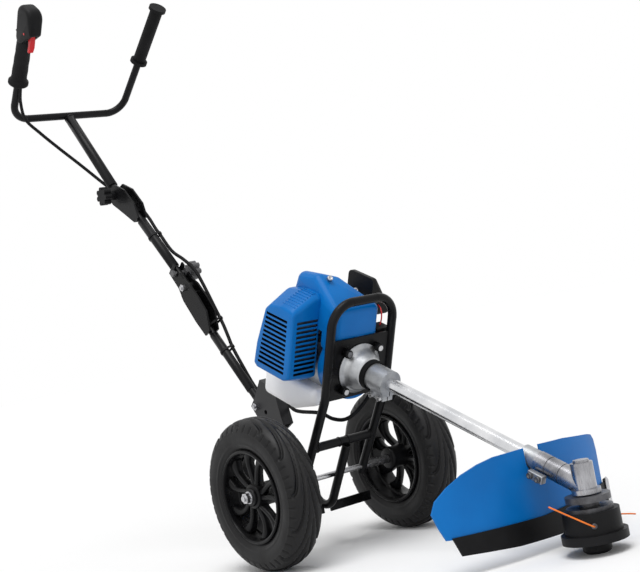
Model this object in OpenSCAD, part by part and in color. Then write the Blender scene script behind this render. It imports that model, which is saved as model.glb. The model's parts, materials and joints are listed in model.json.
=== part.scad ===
/* [Wheels] */
// tyre diameter
tyre_d = 270; // [180:5:400]
// tyre section width
tyre_w = 68; // [40:1:120]
// rim lip diameter
rim_d = 166; // [100:1:260]
// distance between the wheel mid-planes
track = 318; // [240:2:480]
// axle diameter
axle_d = 10; // [8:0.5:16]
// distance from the axle to the head axis
wheel_base = 600; // [450:5:800]
// tread grooves round each half of a tyre
tread_count = 22; // [12:1:36]
// twin spokes of a rim
spoke_count = 5; // [3:1:8]

/* [Drive line] */
// slope of the drive tube
drive_tilt = 25; // [15:1:35]
// height of the bevel crossing
apex_h = 99; // [80:1:140]
// drive tube diameter
tube_d = 24; // [20:1:30]
// distance up the tube to the engine plate
plate_s = 520; // [420:5:640]

/* [Frame] */
// frame tube diameter
frame_d = 16; // [12:1:25]
// wall of the bent tubes
tube_wall = 1.5; // [1:0.1:3]
// width of the hoop between tube middles
hoop_w = 138; // [110:2:200]
// top of the hoop above the drive axis
hoop_top = 125; // [90:1:180]
// knee of the hoop below the drive axis
hoop_knee = 48; // [30:1:80]
// height of the base pivot
base_h = 274; // [200:2:360]
// distance of the base pivot behind the axle
base_back = 185; // [120:5:260]

/* [Handle] */
// handle stem diameter
stem_d = 15; // [12:0.5:24]
// backward lean of the lower stem
lower_lean = 38; // [25:1:50]
// backward lean of the middle stem
mid_lean = 39.5; // [25:0.5:50]
// backward lean of the upper stem
upper_lean = 36; // [20:1:50]
// base pivot to middle pivot along the lower stem
mid_along = 309.5; // [240:0.5:400]
// middle pivot to upper pivot along the middle stem
up_along = 308; // [240:1:400]
// upper pivot to the handlebar
stem_len = 258; // [180:2:340]
// half width of the handlebar
bar_half = 136; // [100:2:200]
// angle from the upper stem to the handlebar uprights
bar_turn = 84; // [60:1:110]
// length of the uprights
bar_len = 268; // [200:2:340]

/* [Engine] */
// distance up the tube to the cylinder middle
cyl_s = 594; // [560:2:640]
// length of the fuel tank
tank_len = 150; // [100:2:190]
// width of the fuel tank
tank_w = 118; // [80:2:140]
// flywheel diameter
flywheel_d = 100; // [80:2:120]

/* [Head and guard] */
// diameter of the head drum
head_d = 86; // [70:1:120]
// diameter of the head rim
rim_low_d = 100; // [80:1:140]
// diameter of the bump knob
knob_d = 44; // [30:1:60]
// radius of the guard in plan
guard_r = 446; // [300:2:700]
// half width of the guard
guard_half = 185; // [120:5:260]
// travel of the bump knob
bump_travel = 5; // [3:0.5:8]

/* [Hidden] */
$fn = 96;
soft_fn = 32;

over = 1;
run = 0.05;
gap = 0.3;
axle_x = -wheel_base;
axle_z = tyre_d / 2;
black = [0.11, 0.11, 0.12];
blue = [0.09, 0.28, 0.62];
silver = [0.72, 0.73, 0.74];
steel = [0.6, 0.6, 0.62];

// frames of reference
module back(s = 0) {
  translate([0, 0, apex_h]) rotate([0, drive_tilt, 0])
    translate([-s, 0, 0]) rotate([0, -90, 0]) children();
}
module at_axle() {
  translate([axle_x, 0, axle_z]) children();
}
module lower_frame() {
  translate([axle_x - base_back, 0, base_h]) rotate([0, -lower_lean, 0]) children();
}
mid_fore = 19.7;
up_fore = -13;
module mid_frame() {
  lower_frame() translate([mid_fore, 0, mid_along])
    rotate([0, lower_lean - mid_lean, 0]) children();
}
module upper_frame() {
  mid_frame() translate([up_fore, 0, up_along])
    rotate([0, mid_lean - upper_lean, 0]) children();
}
module bar_frame() {
  upper_frame() translate([0, 0, stem_len]) rotate([0, bar_turn, 0]) children();
}
bar_flare = 4;
module upright(side) {
  bar_frame() translate([0, side * bar_half, 0]) rotate([-side * bar_flare, 0, 0]) children();
}
module across(d, h) {
  rotate([90, 0, 0]) cylinder(d = d, h = h, center = true);
}
module ring(d_out, d_in, h) {
  difference() {
    cylinder(d = d_out, h = h);
    translate([0, 0, -over]) cylinder(d = d_in, h = h + 2 * over);
  }
}
module hex(af, h) {
  cylinder(d = af / cos(30), h = h, $fn = 6);
}

// wheels
bead_step = 3;
bead_r = rim_d / 2 - bead_step;
crown_share = 0.26;
side_share = 0.88;
lip_share = 0.4;
crown_r = tyre_d * crown_share;
side_r = tyre_w * side_share;
lip_in = tyre_w * lip_share;
lip_t = 4;
lip_floor = 4;
groove_depth = 5;
groove_w = 5;
sipe_w = 1.6;
sipe_depth = 3;
sipe_len = 13;
sipe_tilt = 50;
sipe_turn_share = 0.3;
sipe_in_share = 0.2;
sipe_side_share = 0.083;
hub_d = 44;
hub_len = 62;
spoke_w = 8;
spoke_depth = 18;
spoke_out = 6;
spoke_spread = 12;
groove_shares = [[-0.02, 0.02], [0.1, 0.12], [0.2, 0.25], [0.25, 0.5]];
module tyre_profile() {
  difference() {
    intersection() {
      translate([bead_r, -tyre_w / 2]) square([tyre_d / 2 - bead_r, tyre_w]);
      translate([tyre_d / 2 - crown_r, 0]) circle(r = crown_r);
      for (m = [-1, 1])
        translate([(tyre_d + rim_d) / 4, m * (side_r - tyre_w / 2)]) circle(r = side_r);
    }
    for (m = [0, 1]) mirror([0, m])
      translate([bead_r - over, lip_in]) square([rim_d / 2 - bead_r + over, tyre_w]);
  }
}
module groove() {
  left = [for (p = groove_shares) [p[0] * tyre_d / 2 - groove_w / 2, p[1] * tyre_w]];
  right = [for (i = [len(groove_shares) - 1:-1:0])
    [groove_shares[i][0] * tyre_d / 2 + groove_w / 2, groove_shares[i][1] * tyre_w]];
  translate([tyre_d / 2 - groove_depth, 0, 0]) rotate([90, 0, 90])
    linear_extrude(height = groove_depth + over) polygon(concat(left, right));
}
module tyre() {
  difference() {
    rotate_extrude() tyre_profile();
    for (i = [0:tread_count - 1]) {
      rotate([0, 0, i * 360 / tread_count]) groove();
      rotate([0, 0, (i + 0.5) * 360 / tread_count]) mirror([0, 0, 1]) groove();
    }
    for (i = [0:tread_count - 1], m = [0, 1]) mirror([0, 0, m])
      rotate([0, 0, (i + sipe_turn_share + m / 2) * 360 / tread_count])
        translate([tyre_d / 2 - crown_r * sipe_in_share, 0, tyre_w / 2 - crown_r * sipe_side_share])
          rotate([0, -sipe_tilt, 0])
          translate([-sipe_depth, -sipe_w / 2, -sipe_len / 2])
            cube([crown_r, sipe_w, sipe_len]);
  }
}
module rim() {
  barrel_r = bead_r - lip_floor;
  difference() {
    union() {
      rotate_extrude() {
        translate([barrel_r, -lip_in - lip_t]) square([lip_floor, 2 * (lip_in + lip_t)]);
        for (m = [0, 1]) mirror([0, m])
          translate([barrel_r, lip_in]) square([rim_d / 2 - barrel_r, lip_t]);
      }
      translate([0, 0, -hub_len / 2]) cylinder(d = hub_d, h = hub_len);
      translate([0, 0, spoke_out]) linear_extrude(height = spoke_depth)
        intersection() {
          circle(r = barrel_r + lip_floor / 2);
          for (i = [0:spoke_count - 1], m = [-1, 1])
            rotate(i * 360 / spoke_count + m * spoke_spread)
              translate([hub_d / 3, -spoke_w / 2]) square([rim_d / 2, spoke_w]);
        }
    }
    translate([0, 0, -hub_len]) cylinder(d = axle_d + 2 * run, h = 2 * hub_len);
  }
}
module wheel_right() {
  at_axle() translate([0, -track / 2, 0]) rotate([90, 0, 0]) children();
}
module wheel_left() {
  at_axle() translate([0, track / 2, 0]) rotate([-90, 0, 0]) children();
}
module tyre_right() color(black) wheel_right() tyre();
module rim_right() color(black) wheel_right() rim();
module tyre_left() color(black) wheel_left() tyre();
module rim_left() color(black) wheel_left() rim();

washer_t = 2;
washer_d = 22;
axle_nut_af = 17;
axle_nut_h = 8;
axle_tail = 4;
axle_half = track / 2 + hub_len / 2 + gap + washer_t + axle_nut_h + axle_tail;
module axle() color(steel) at_axle() across(axle_d, 2 * axle_half);

// frame
plate_t = 4;
hoop_s = plate_s + plate_t / 2;
hoop_bend = 42;
leg_tail = 13;
knee_x = -hoop_s * cos(drive_tilt) - hoop_knee * sin(drive_tilt);
knee_z = apex_h + hoop_s * sin(drive_tilt) - hoop_knee * cos(drive_tilt);
leg_lean = atan2(knee_x - axle_x, knee_z - axle_z);
leg_len = norm([knee_x - axle_x, knee_z - axle_z]);
knee_turn = leg_lean - drive_tilt;
knee_r = 60;
knee_tan = knee_r * tan(knee_turn / 2);
module annulus(d) {
  difference() {
    circle(d = d);
    circle(d = d - 2 * tube_wall);
  }
}
seam = 0.1;
collar_step = 0.3;
collar_len = 3;
module pipe(d, h, low = 1, high = 1) {
  translate([0, 0, low * seam]) linear_extrude(height = h - (low + high) * seam) annulus(d);
  if (low == 1) translate([0, 0, -collar_len / 2]) cylinder(d = d + collar_step, h = collar_len);
  if (high == 1) translate([0, 0, h - collar_len / 2]) cylinder(d = d + collar_step, h = collar_len);
}
module elbow(r, turn, d) {
  trim = asin(seam / r);
  rotate([0, 0, trim]) rotate_extrude(angle = turn - 2 * trim) translate([r, 0]) annulus(d);
}
module leg_solid(side) {
  at_axle() rotate([0, leg_lean, 0]) translate([0, side * hoop_w / 2, -leg_tail])
    cylinder(d = frame_d, h = leg_len + leg_tail);
}
module hoop_half() {
  at_axle() rotate([0, leg_lean, 0]) translate([0, hoop_w / 2, -leg_tail])
    pipe(frame_d, leg_len + leg_tail - knee_tan, 0, 1);
  translate([knee_x, hoop_w / 2, knee_z]) rotate([0, (leg_lean + drive_tilt) / 2, 0])
    translate([-knee_r / cos(knee_turn / 2), 0, 0]) rotate([90, 0, 0])
      rotate([0, 0, -knee_turn / 2]) elbow(knee_r, knee_turn, frame_d);
  back(hoop_s) translate([knee_tan - hoop_knee, hoop_w / 2, 0]) rotate([0, 90, 0])
    pipe(frame_d, hoop_knee + hoop_top - hoop_bend - knee_tan);
  back(hoop_s) translate([hoop_top - hoop_bend, hoop_w / 2 - hoop_bend, 0])
    elbow(hoop_bend, 90, frame_d);
}
module frame_hoop() color(black) difference() {
  union() {
    hoop_half();
    mirror([0, 1, 0]) hoop_half();
    back(hoop_s) translate([hoop_top, hoop_bend - hoop_w / 2, 0]) rotate([-90, 0, 0])
      pipe(frame_d, hoop_w - 2 * hoop_bend);
  }
  at_axle() across(axle_d, 2 * axle_half);
}
plate_low = 52;
plate_high = 58;
plate_hole = 82;
bolt_grid = 70;
bolt_d = 6;
module bolt_spots() {
  for (a = [-1, 1], b = [-1, 1]) translate([a * bolt_grid / 2, b * bolt_grid / 2, 0]) children();
}
module engine_plate() color(black) back(plate_s) difference() {
  translate([-plate_low, -(hoop_w - frame_d) / 2, 0])
    cube([plate_low + plate_high, hoop_w - frame_d, plate_t]);
  translate([0, 0, -over]) cylinder(d = plate_hole, h = plate_t + 2 * over);
  bolt_spots() translate([0, 0, -over]) cylinder(d = bolt_d, h = plate_t + 2 * over);
}
brace_up = 73;
module brace_bar(d, h) {
  at_axle() rotate([0, leg_lean, 0]) translate([0, 0, brace_up]) across(d, h);
}
module lower_brace() color(black) difference() {
  brace_bar(frame_d, hoop_w);
  brace_bar(frame_d - 2 * tube_wall, hoop_w + over);
  for (m = [-1, 1]) leg_solid(m);
}
limb_lean = 36;
limb_up = 72;
limb_down = 88;
limb_off = (frame_d + axle_d) / 2;
rear_lean = 33.5;
rear_len = 248;
spine_bend = 30;
half_fork = (limb_lean + rear_lean) / 2;
spine_tan = spine_bend / tan(half_fork);
module corner() {
  at_axle() rotate([0, limb_lean, 0]) translate([limb_off, 0, -limb_down])
    rotate([0, -limb_lean, 0]) children();
}
module spine_tube() color(black) {
  difference() {
    corner() rotate([0, limb_lean, 0]) translate([0, 0, spine_tan])
      pipe(frame_d, limb_up + limb_down - spine_tan, 1, 0);
    brace_bar(frame_d, hoop_w);
  }
  corner() rotate([0, -rear_lean, 0]) translate([0, 0, spine_tan])
    pipe(frame_d, rear_len - spine_tan, 1, 0);
  corner() rotate([0, (limb_lean - rear_lean) / 2, 0]) translate([0, 0, spine_bend / sin(half_fork)])
    rotate([90, 0, 0]) rotate([0, 0, half_fork - 180])
      elbow(spine_bend, 180 - 2 * half_fork, frame_d);
}
step_half = 104;
step_tall = 17;
step_t = 4;
step_drop = 6;
module step_bars() color(black)
  corner() translate([0, 0, spine_bend / sin(half_fork) - spine_bend - step_drop])
    for (m = [0, 1]) mirror([0, m, 0]) translate([-step_t / 2, frame_d / 2, -step_tall / 2])
      cube([step_t, step_half - frame_d / 2, step_tall]);
// base bracket
ear_t = 4;
ear_gap = frame_d;
pin_d = 8;
spare_d = 9;
spare_at = [12, -26];
bracket_size = 100;
ear_shares = [[-0.17, -0.24], [-0.14, 0.13], [0.09, 0.15], [0.5, 0.24], [0.6, 0], [0.6, -0.3],
  [0.33, -0.78], [0.06, -0.72]];
web_shares = [[0.33, -0.78], [0.6, -0.3], [0.6, 0], [0.5, 0.24], [0.46, 0.23], [0.56, 0],
  [0.56, -0.29], [0.3, -0.76]];
module plate_xz(points, t) {
  rotate([90, 0, 0]) linear_extrude(height = t, center = true) polygon(points);
}
module base_bracket() color([0.42, 0.42, 0.43]) lower_frame() difference() {
  union() {
    for (m = [-1, 1]) translate([0, m * (ear_gap + ear_t) / 2, 0])
      plate_xz(ear_shares * bracket_size, ear_t);
    plate_xz(web_shares * bracket_size, ear_gap + 2 * ear_t);
  }
  across(pin_d, 2 * (ear_gap + 2 * ear_t));
  translate([spare_at[0], 0, spare_at[1]]) across(spare_d, 2 * (ear_gap + 2 * ear_t));
}
nut_af = 13;
nut_h = 6;
pin_tail = 3;
pin_span = ear_gap + 2 * ear_t;
module hinge_bolt() {
  across(pin_d, pin_span);
  for (m = [-1, 1]) translate([0, m * pin_span / 2, 0]) rotate([-m * 90, 0, 0]) hex(nut_af, nut_h);
  translate([0, -pin_span / 2 - nut_h, 0]) rotate([90, 0, 0]) cylinder(d = pin_d, h = pin_tail);
}
module base_bolt() color(silver) lower_frame() hinge_bolt();

// handle stems
barrel_d = 20;
barrel_w = ear_gap - 2 * gap;
saddle_h = 14;
module stem_tube(len, d = stem_d) {
  difference() {
    union() {
      cylinder(d = d, h = len);
      across(barrel_d, barrel_w);
    }
    translate([0, 0, barrel_d / 2]) cylinder(d = d - 2 * tube_wall, h = len);
    across(pin_d + 2 * run, 2 * barrel_w);
  }
}
low_len = 232;
fork_size = 100;
low_fork_shares = [[-0.287, -1.095], [-0.107, -1.135], [0.143, -0.835], [0.183, -0.475],
  [0.183, -0.095], [0.123, 0.125], [0.143, 0.565], [-0.137, 0.565], [-0.157, 0.125],
  [-0.257, -0.135], [-0.297, -0.695]];
low_web_shares = [[-0.297, -0.695], [-0.257, -0.135], [-0.217, -0.015], [-0.177, -0.015],
  [-0.217, -0.155], [-0.257, -0.695]];
lock_up = 42.5;
lock_d = 8;
lock_play = 1;
lock_drop = 9;
module low_lock() {
  translate([mid_fore, 0, mid_along]) rotate([0, lower_lean - mid_lean, 0])
    translate([0, 0, lock_up]) children();
}
module lower_stem() color(black) lower_frame() difference() {
  union() {
    stem_tube(low_len);
    translate([mid_fore, 0, mid_along]) {
      for (m = [-1, 1]) translate([0, m * (ear_gap + ear_t) / 2, 0])
        plate_xz(low_fork_shares * fork_size, ear_t);
      plate_xz(low_web_shares * fork_size, pin_span);
    }
    translate([0, 0, low_len - saddle_h]) translate([-stem_d / 2, -pin_span / 2, 0])
      cube([stem_d, pin_span, saddle_h]);
  }
  translate([mid_fore, 0, mid_along]) across(pin_d, 2 * pin_span);
  low_lock() {
    across(lock_d + lock_play, 2 * pin_span);
    translate([0, -pin_span, -(lock_d + lock_play) / 2 - lock_drop])
      cube([low_len, 2 * pin_span, lock_d + lock_play + lock_drop]);
  }
}
module mid_bolt() color(silver) mid_frame() hinge_bolt();
mid_len = 244;
up_fork_shares = [[0.04, -0.94], [0.23, -1], [0.37, -0.72], [0.37, -0.26], [0.21, 0.1],
  [-0.01, 0.18], [-0.19, 0.08], [-0.2, -0.08], [-0.09, -0.46]];
up_web_shares = [[0.04, -0.94], [-0.09, -0.46], [-0.11, -0.38], [-0.07, -0.38], [-0.05, -0.46],
  [0.07, -0.94]];
module mid_stem() color(black) mid_frame() difference() {
  union() {
    stem_tube(mid_len);
    translate([up_fore, 0, up_along]) {
      for (m = [-1, 1]) translate([0, m * (ear_gap + ear_t) / 2, 0])
        plate_xz(up_fork_shares * fork_size, ear_t);
      plate_xz(up_web_shares * fork_size, pin_span);
    }
    translate([-stem_d / 2, -pin_span / 2, mid_len - saddle_h])
      cube([stem_d, pin_span, saddle_h]);
  }
  translate([up_fore, 0, up_along]) across(pin_d + 2 * run, 2 * pin_span);
  translate([0, 0, lock_up]) across(lock_d + 2 * run, 2 * pin_span);
}
star_d = 40;
star_lobes = 7;
star_lobe_d = 11;
star_t = 16;
star_neck_d = 20;
star_neck = 14;
star_head = 5;
module star_knob() {
  translate([0, 0, pin_span / 2 + gap]) {
    cylinder(d = star_neck_d, h = star_neck);
    translate([0, 0, star_neck]) linear_extrude(height = star_t) {
      circle(d = star_d - star_lobe_d);
      for (i = [0:star_lobes - 1]) rotate(i * 360 / star_lobes)
        translate([(star_d - star_lobe_d) / 2, 0]) circle(d = star_lobe_d);
    }
  }
  translate([0, 0, -pin_span / 2 - gap]) cylinder(d = lock_d, h = pin_span + 2 * gap);
  translate([0, 0, -pin_span / 2 - gap - star_head]) hex(nut_af, star_head);
}
module star_knob_mid() color([0.5, 0.5, 0.52]) mid_frame() translate([0, 0, lock_up])
  rotate([-90, 0, 0]) star_knob();
module star_knob_upper() color(black) upper_frame() rotate([90, 0, 0]) star_knob();
module upper_stem() color(black) upper_frame() difference() {
  stem_tube(stem_len);
  translate([0, 0, stem_len]) across(bar_d, 2 * bar_half);
}
bar_d = 16;
bar_bend = 42;
bar_arc = 90 - bar_flare;
bar_tan = bar_bend * tan(bar_arc / 2);
module bar_side() {
  upright(1) translate([0, 0, bar_tan]) pipe(bar_d, bar_len - bar_tan, 1, 0);
  bar_frame() translate([0, bar_half - bar_tan, bar_bend]) rotate([90, 0, 90])
    rotate([0, 0, -90]) elbow(bar_bend, bar_arc, bar_d);
}
module handlebar() color(black) {
  bar_side();
  mirror([0, 1, 0]) bar_side();
  bar_frame() translate([0, bar_tan - bar_half, 0]) rotate([-90, 0, 0])
    pipe(bar_d, 2 * (bar_half - bar_tan));
}

// drive line
tube_wall_thick = 1.5;
tube_from = 46;
tube_to = 494;
module drive_tube() color([0.75, 0.76, 0.78]) back(tube_from)
  ring(tube_d, tube_d - 2 * tube_wall_thick, tube_to - tube_from);
clamp_from = 436;
clamp_to = 478;
clamp_d = 46;
clamp_lug = [18, 22, 34];
clamp_slit = 2;
module tube_clamp() color(silver) back(clamp_from) difference() {
  union() {
    cylinder(d = clamp_d, h = clamp_to - clamp_from);
    translate([-(clamp_d + clamp_lug[0]) / 2, -clamp_lug[1] / 2, 0])
      translate([0, 0, (clamp_to - clamp_from - clamp_lug[2]) / 2]) cube(clamp_lug);
  }
  translate([0, 0, -over]) cylinder(d = tube_d, h = clamp_to - clamp_from + 2 * over);
  translate([-clamp_d, -clamp_slit / 2, -over])
    cube([clamp_d, clamp_slit, clamp_to - clamp_from + 2 * over]);
}
iso_to = 488;
iso_d = 54;
module rubber_isolator() color(black) back(clamp_to) ring(iso_d, tube_d, iso_to - clamp_to);
clutch_small_d = 50;
clutch_big_d = 86;
clutch_cone = 24;
clutch_flange = 8;
clutch_flange_d = 92;
lug_d = 15;
drum_d = 58;
drum_wall = 3;
drum_from = 502;
drum_to = 517;
drum_gap = 2;
shaft_d = 8;
rib_t = 3;
rib_count = 4;
module clutch_housing() color(silver) back(iso_to) difference() {
  union() {
    cylinder(d1 = clutch_small_d, d2 = clutch_big_d, h = clutch_cone);
    translate([0, 0, clutch_cone]) cylinder(d = clutch_flange_d, h = clutch_flange);
    bolt_spots() translate([0, 0, clutch_cone]) cylinder(d = lug_d, h = clutch_flange);
    for (i = [0:rib_count - 1]) rotate([0, 0, i * 360 / rib_count]) rotate([90, 0, 0])
      linear_extrude(height = rib_t, center = true)
        polygon([[0, 0], [clutch_small_d / 2 + rib_t / 2, 0],
          [clutch_flange_d / 2 - rib_t / 2, clutch_cone], [0, clutch_cone]]);
  }
  translate([0, 0, drum_from - iso_to - drum_gap])
    cylinder(d = drum_d + 2 * drum_gap, h = plate_s);
  translate([0, 0, -over]) cylinder(d = tube_d, h = tube_to - iso_to + over);
  translate([0, 0, -over]) cylinder(d = shaft_d + 2 * run, h = plate_s);
  bolt_spots() translate([0, 0, -over]) cylinder(d = bolt_d, h = plate_s);
}
module clutch_drum() color(steel) back(drum_from) difference() {
  cylinder(d = drum_d, h = drum_to - drum_from);
  translate([0, 0, drum_wall]) cylinder(d = drum_d - 2 * drum_wall, h = drum_to);
  translate([0, 0, -over]) cylinder(d = shaft_d, h = drum_to);
}
pinion_from = 5;
pinion_to = 12;
pinion_r = 6.3;
pinion_teeth = 9;
tooth_depth = 1;
tooth_w = 1.2;
seat_from = 30;
module tooth_cuts(count, r, h) {
  for (i = [0:count - 1]) rotate([0, 0, i * 360 / count])
    translate([r - tooth_depth, -tooth_w / 2, -over]) cube([r, tooth_w, h + 2 * over]);
}
module drive_shaft() color(steel) back() {
  translate([0, 0, pinion_to]) cylinder(d = shaft_d, h = drum_from + drum_wall - pinion_to);
  translate([0, 0, pinion_from]) difference() {
    cylinder(r1 = pinion_r * pinion_from / pinion_to, r2 = pinion_r, h = pinion_to - pinion_from);
    tooth_cuts(pinion_teeth, pinion_r, pinion_to - pinion_from);
  }
}
case_d = 34;
case_top = 134;
case_low = 88;
case_lip_d = 44;
case_lip = 7;
neck_d = 34;
neck_len = 92;
case_wall = 3;
neck_groove = 1;
neck_groove_w = 1.6;
neck_line_shares = [0.45, 0.74];
cap_d = 24;
cap_h = 4;
spindle_d = 9;
module gear_case() color(silver) difference() {
  union() {
    translate([0, 0, case_low]) cylinder(d = case_d, h = case_top - case_low);
    translate([0, 0, case_low]) cylinder(d = case_lip_d, h = case_lip);
    translate([0, 0, case_top]) cylinder(d = cap_d, h = cap_h);
    back() cylinder(d = neck_d, h = neck_len);
    sphere_z() sphere(d = case_d);
  }
  translate([0, 0, case_low + case_wall])
    cylinder(d = case_d - 2 * case_wall, h = case_top - case_low - 2 * case_wall);
  back() cylinder(d = case_d - 2 * case_wall, h = seat_from - case_wall);
  back() cylinder(d = shaft_d + 2 * run, h = neck_len);
  back(tube_from) cylinder(d = tube_d, h = neck_len);
  translate([0, 0, case_low - over]) cylinder(d = spindle_d + 2 * run, h = 2 * case_wall);
  translate([0, 0, case_low - case_d]) cylinder(d = 2 * case_d, h = case_d);
  for (share = neck_line_shares) back(share * neck_len) difference() {
    cylinder(d = 2 * neck_d, h = neck_groove_w);
    translate([0, 0, -over]) cylinder(d = neck_d - 2 * neck_groove, h = neck_len);
  }
}
module sphere_z() translate([0, 0, apex_h]) children();
gear_r = 13;
gear_low = 92.2;
gear_high = 97.8;
gear_teeth = 19;
spindle_low = 36;
module bevel_gear() color(steel) {
  translate([0, 0, spindle_low]) cylinder(d = spindle_d, h = gear_high - spindle_low);
  translate([0, 0, gear_low]) difference() {
    cylinder(r = gear_r, h = gear_high - gear_low);
    tooth_cuts(gear_teeth, gear_r, gear_high - gear_low);
    cylinder(d = spindle_d / 2, h = gear_low);
  }
}

// line head
flange_d = 68;
flange_low = 77;
flange_high = 86;
disc_d = 70;
disc_low = 63;
disc_high = 69;
collar_d = 30;
module head_flange() color([0.3, 0.3, 0.32]) difference() {
  union() {
    translate([0, 0, flange_low]) cylinder(d = flange_d, h = flange_high - flange_low);
    translate([0, 0, disc_low]) cylinder(d = disc_d, h = disc_high - disc_low);
    translate([0, 0, disc_low]) cylinder(d = collar_d, h = flange_high - disc_low);
  }
  translate([0, 0, disc_low - over]) cylinder(d = spindle_d, h = flange_high);
}
drum_high = 63;
rim_low = 18;
rim_high = 31;
head_wall = 3;
head_top_wall = 5;
eye_d = 4;
eye_up = 45;
module head_body() color(black) difference() {
  union() {
    translate([0, 0, rim_high]) cylinder(d = head_d, h = drum_high - rim_high);
    translate([0, 0, rim_low]) cylinder(d = rim_low_d, h = rim_high - rim_low);
  }
  translate([0, 0, rim_low - over])
    cylinder(d = head_d - 2 * head_wall, h = drum_high - head_top_wall - rim_low + over);
  translate([0, 0, rim_low - over]) cylinder(d = spindle_d, h = drum_high);
  for (a = eye_turns) rotate([0, 0, a]) translate([head_d / 2 - 2 * head_wall, 0, eye_up])
    rotate([0, 90, 0]) cylinder(d = eye_d, h = rim_low_d);
}
eye_turns = [-45, 135];
spool_low = 19;
spool_d = 74;
spool_core = 34;
spool_disc = 3;
spool_high = 56;
knob_neck = 26;
module spool() color([0.35, 0.35, 0.36]) difference() {
  union() {
    translate([0, 0, spool_low]) cylinder(d = spool_d, h = spool_disc);
    translate([0, 0, spool_high - spool_disc]) cylinder(d = spool_d, h = spool_disc);
    translate([0, 0, spool_low]) cylinder(d = spool_core, h = drum_high - head_top_wall - spool_low);
  }
  translate([0, 0, spool_low - over]) cylinder(d = spindle_d, h = drum_high);
  translate([0, 0, spool_low - over]) cylinder(d = knob_neck + 2 * gap, h = bump_room);
}
bump_room = 14;
knob_high = 12;
knob_edge = 4;
module bump_knob() color(black) {
  cylinder(d1 = knob_d - 2 * knob_edge, d2 = knob_d, h = knob_edge);
  translate([0, 0, knob_edge]) cylinder(d = knob_d, h = knob_high - knob_edge);
  translate([0, 0, knob_high])
    cylinder(d = knob_neck, h = spool_low + bump_room - over - bump_travel - gap - knob_high);
}
line_d = 2.4;
line_sides = 8;
line_steps = 3;
steep_share = 0.9;
line_a = [[22, -22, 45], [31, -31, 45], [37, -41, 48], [33, -56, 58], [17, -70, 72], [-2, -82, 86]];
line_b = [[-22, 22, 45], [-31, 31, 45], [-33, 45, 44], [-20, 62, 41], [0, 78, 38], [10, 85, 36]];
function unit(v) = v / norm(v);
function tangent(p, i) = unit(p[min(i + 1, len(p) - 1)] - p[max(i - 1, 0)]);
function side_of(t) = unit(cross(t, abs(t[2]) > steep_share ? [1, 0, 0] : [0, 0, 1]));
function ring_at(p, i, d, n) = let (t = tangent(p, i), a = side_of(t), b = cross(t, a))
  [for (k = [0:n - 1]) p[i] + d / 2 * (cos(k * 360 / n) * a + sin(k * 360 / n) * b)];
module sweep(p, d, n) {
  m = len(p);
  pts = [for (i = [0:m - 1], q = ring_at(p, i, d, n)) q];
  sides = [for (i = [0:m - 2], k = [0:n - 1])
    [i * n + k, i * n + (k + 1) % n, (i + 1) * n + (k + 1) % n, (i + 1) * n + k]];
  ends = [[for (k = [n - 1:-1:0]) k], [for (k = [0:n - 1]) (m - 1) * n + k]];
  polyhedron(points = pts, faces = concat(sides, ends), convexity = 6);
}
function smooth(p, i, u) =
  let (a = p[max(i - 1, 0)], b = p[i], c = p[i + 1], d = p[min(i + 2, len(p) - 1)])
  (2 * b + (c - a) * u + (2 * a - 5 * b + 4 * c - d) * u * u + (3 * b - a - 3 * c + d) * u * u * u) / 2;
function curve(p, n) = concat([for (i = [0:len(p) - 2], k = [0:n - 1]) smooth(p, i, k / n)],
  [p[len(p) - 1]]);
module trimmer_line() color([0.95, 0.45, 0.1]) {
  sweep(curve(line_a, line_steps), line_d, line_sides);
  sweep(curve(line_b, line_steps), line_d, line_sides);
}

// guard
guard_x = -95;
guard_t = 3;
guard_high = 100;
guard_shares = [[-0.411, 1.62], [-0.568, 1.57], [-0.719, 1.48], [-0.859, 1.34], [-0.968, 1.18],
  [-1.011, 1], [-0.978, 0.78], [-0.935, 0.58], [-0.541, 0.5], [0, 0.47], [0.541, 0.52],
  [0.989, 0.58], [1, 1.19], [0.984, 1.38], [0.941, 1.47], [0.865, 1.5], [0.432, 1.59], [0, 1.63]];
notch_d = 34;
notch_low = 140;
skirt_t = 2.5;
skirt_shares = [[-0.897, 0.6], [-0.843, 0.31], [-0.324, 0.22], [0.368, 0.18], [1.027, 0.17],
  [1.086, 0.17], [1.086, 0.7], [1.016, 0.7], [1.005, 0.66], [0.541, 0.6], [0, 0.55],
  [-0.541, 0.58]];
cutter_shares = [[1.016, 0.18], [1.114, 0.22], [1.114, 0.66], [1.07, 0.72], [1.027, 0.66]];
cutter_t = 2;
function guard_outline(shares) = [for (p = shares) [p[0] * guard_half, p[1] * guard_high]];
module curved(shares, r_in, t) {
  intersection() {
    translate([guard_x - guard_r, 0, 0]) ring(2 * (r_in + t), 2 * r_in, base_h);
    translate([guard_x - guard_r, 0, 0]) rotate([90, 0, 90])
      linear_extrude(height = 2 * guard_r) polygon(guard_outline(shares));
  }
}
module guard() color(blue) difference() {
  curved(guard_shares, guard_r - guard_t, guard_t);
  translate([guard_x - guard_r / 2, 0, notch_low]) rotate([0, 90, 0])
    cylinder(d = notch_d, h = guard_r);
  translate([guard_x - guard_r / 2, -notch_d / 2, notch_low]) cube([guard_r, notch_d, base_h]);
}
module guard_skirt() color(black) curved(skirt_shares, guard_r, skirt_t);
module line_cutter() color(silver) curved(cutter_shares, guard_r + skirt_t, cutter_t);
saddle_from = 92;
saddle_to = 122;
saddle_t = 4;
tab_w = 60;
tab_low = 96;
tab_t = 3;
tab_x = guard_x - guard_r + sqrt(pow(guard_r - guard_t, 2) - pow(tab_w / 2, 2));
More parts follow.
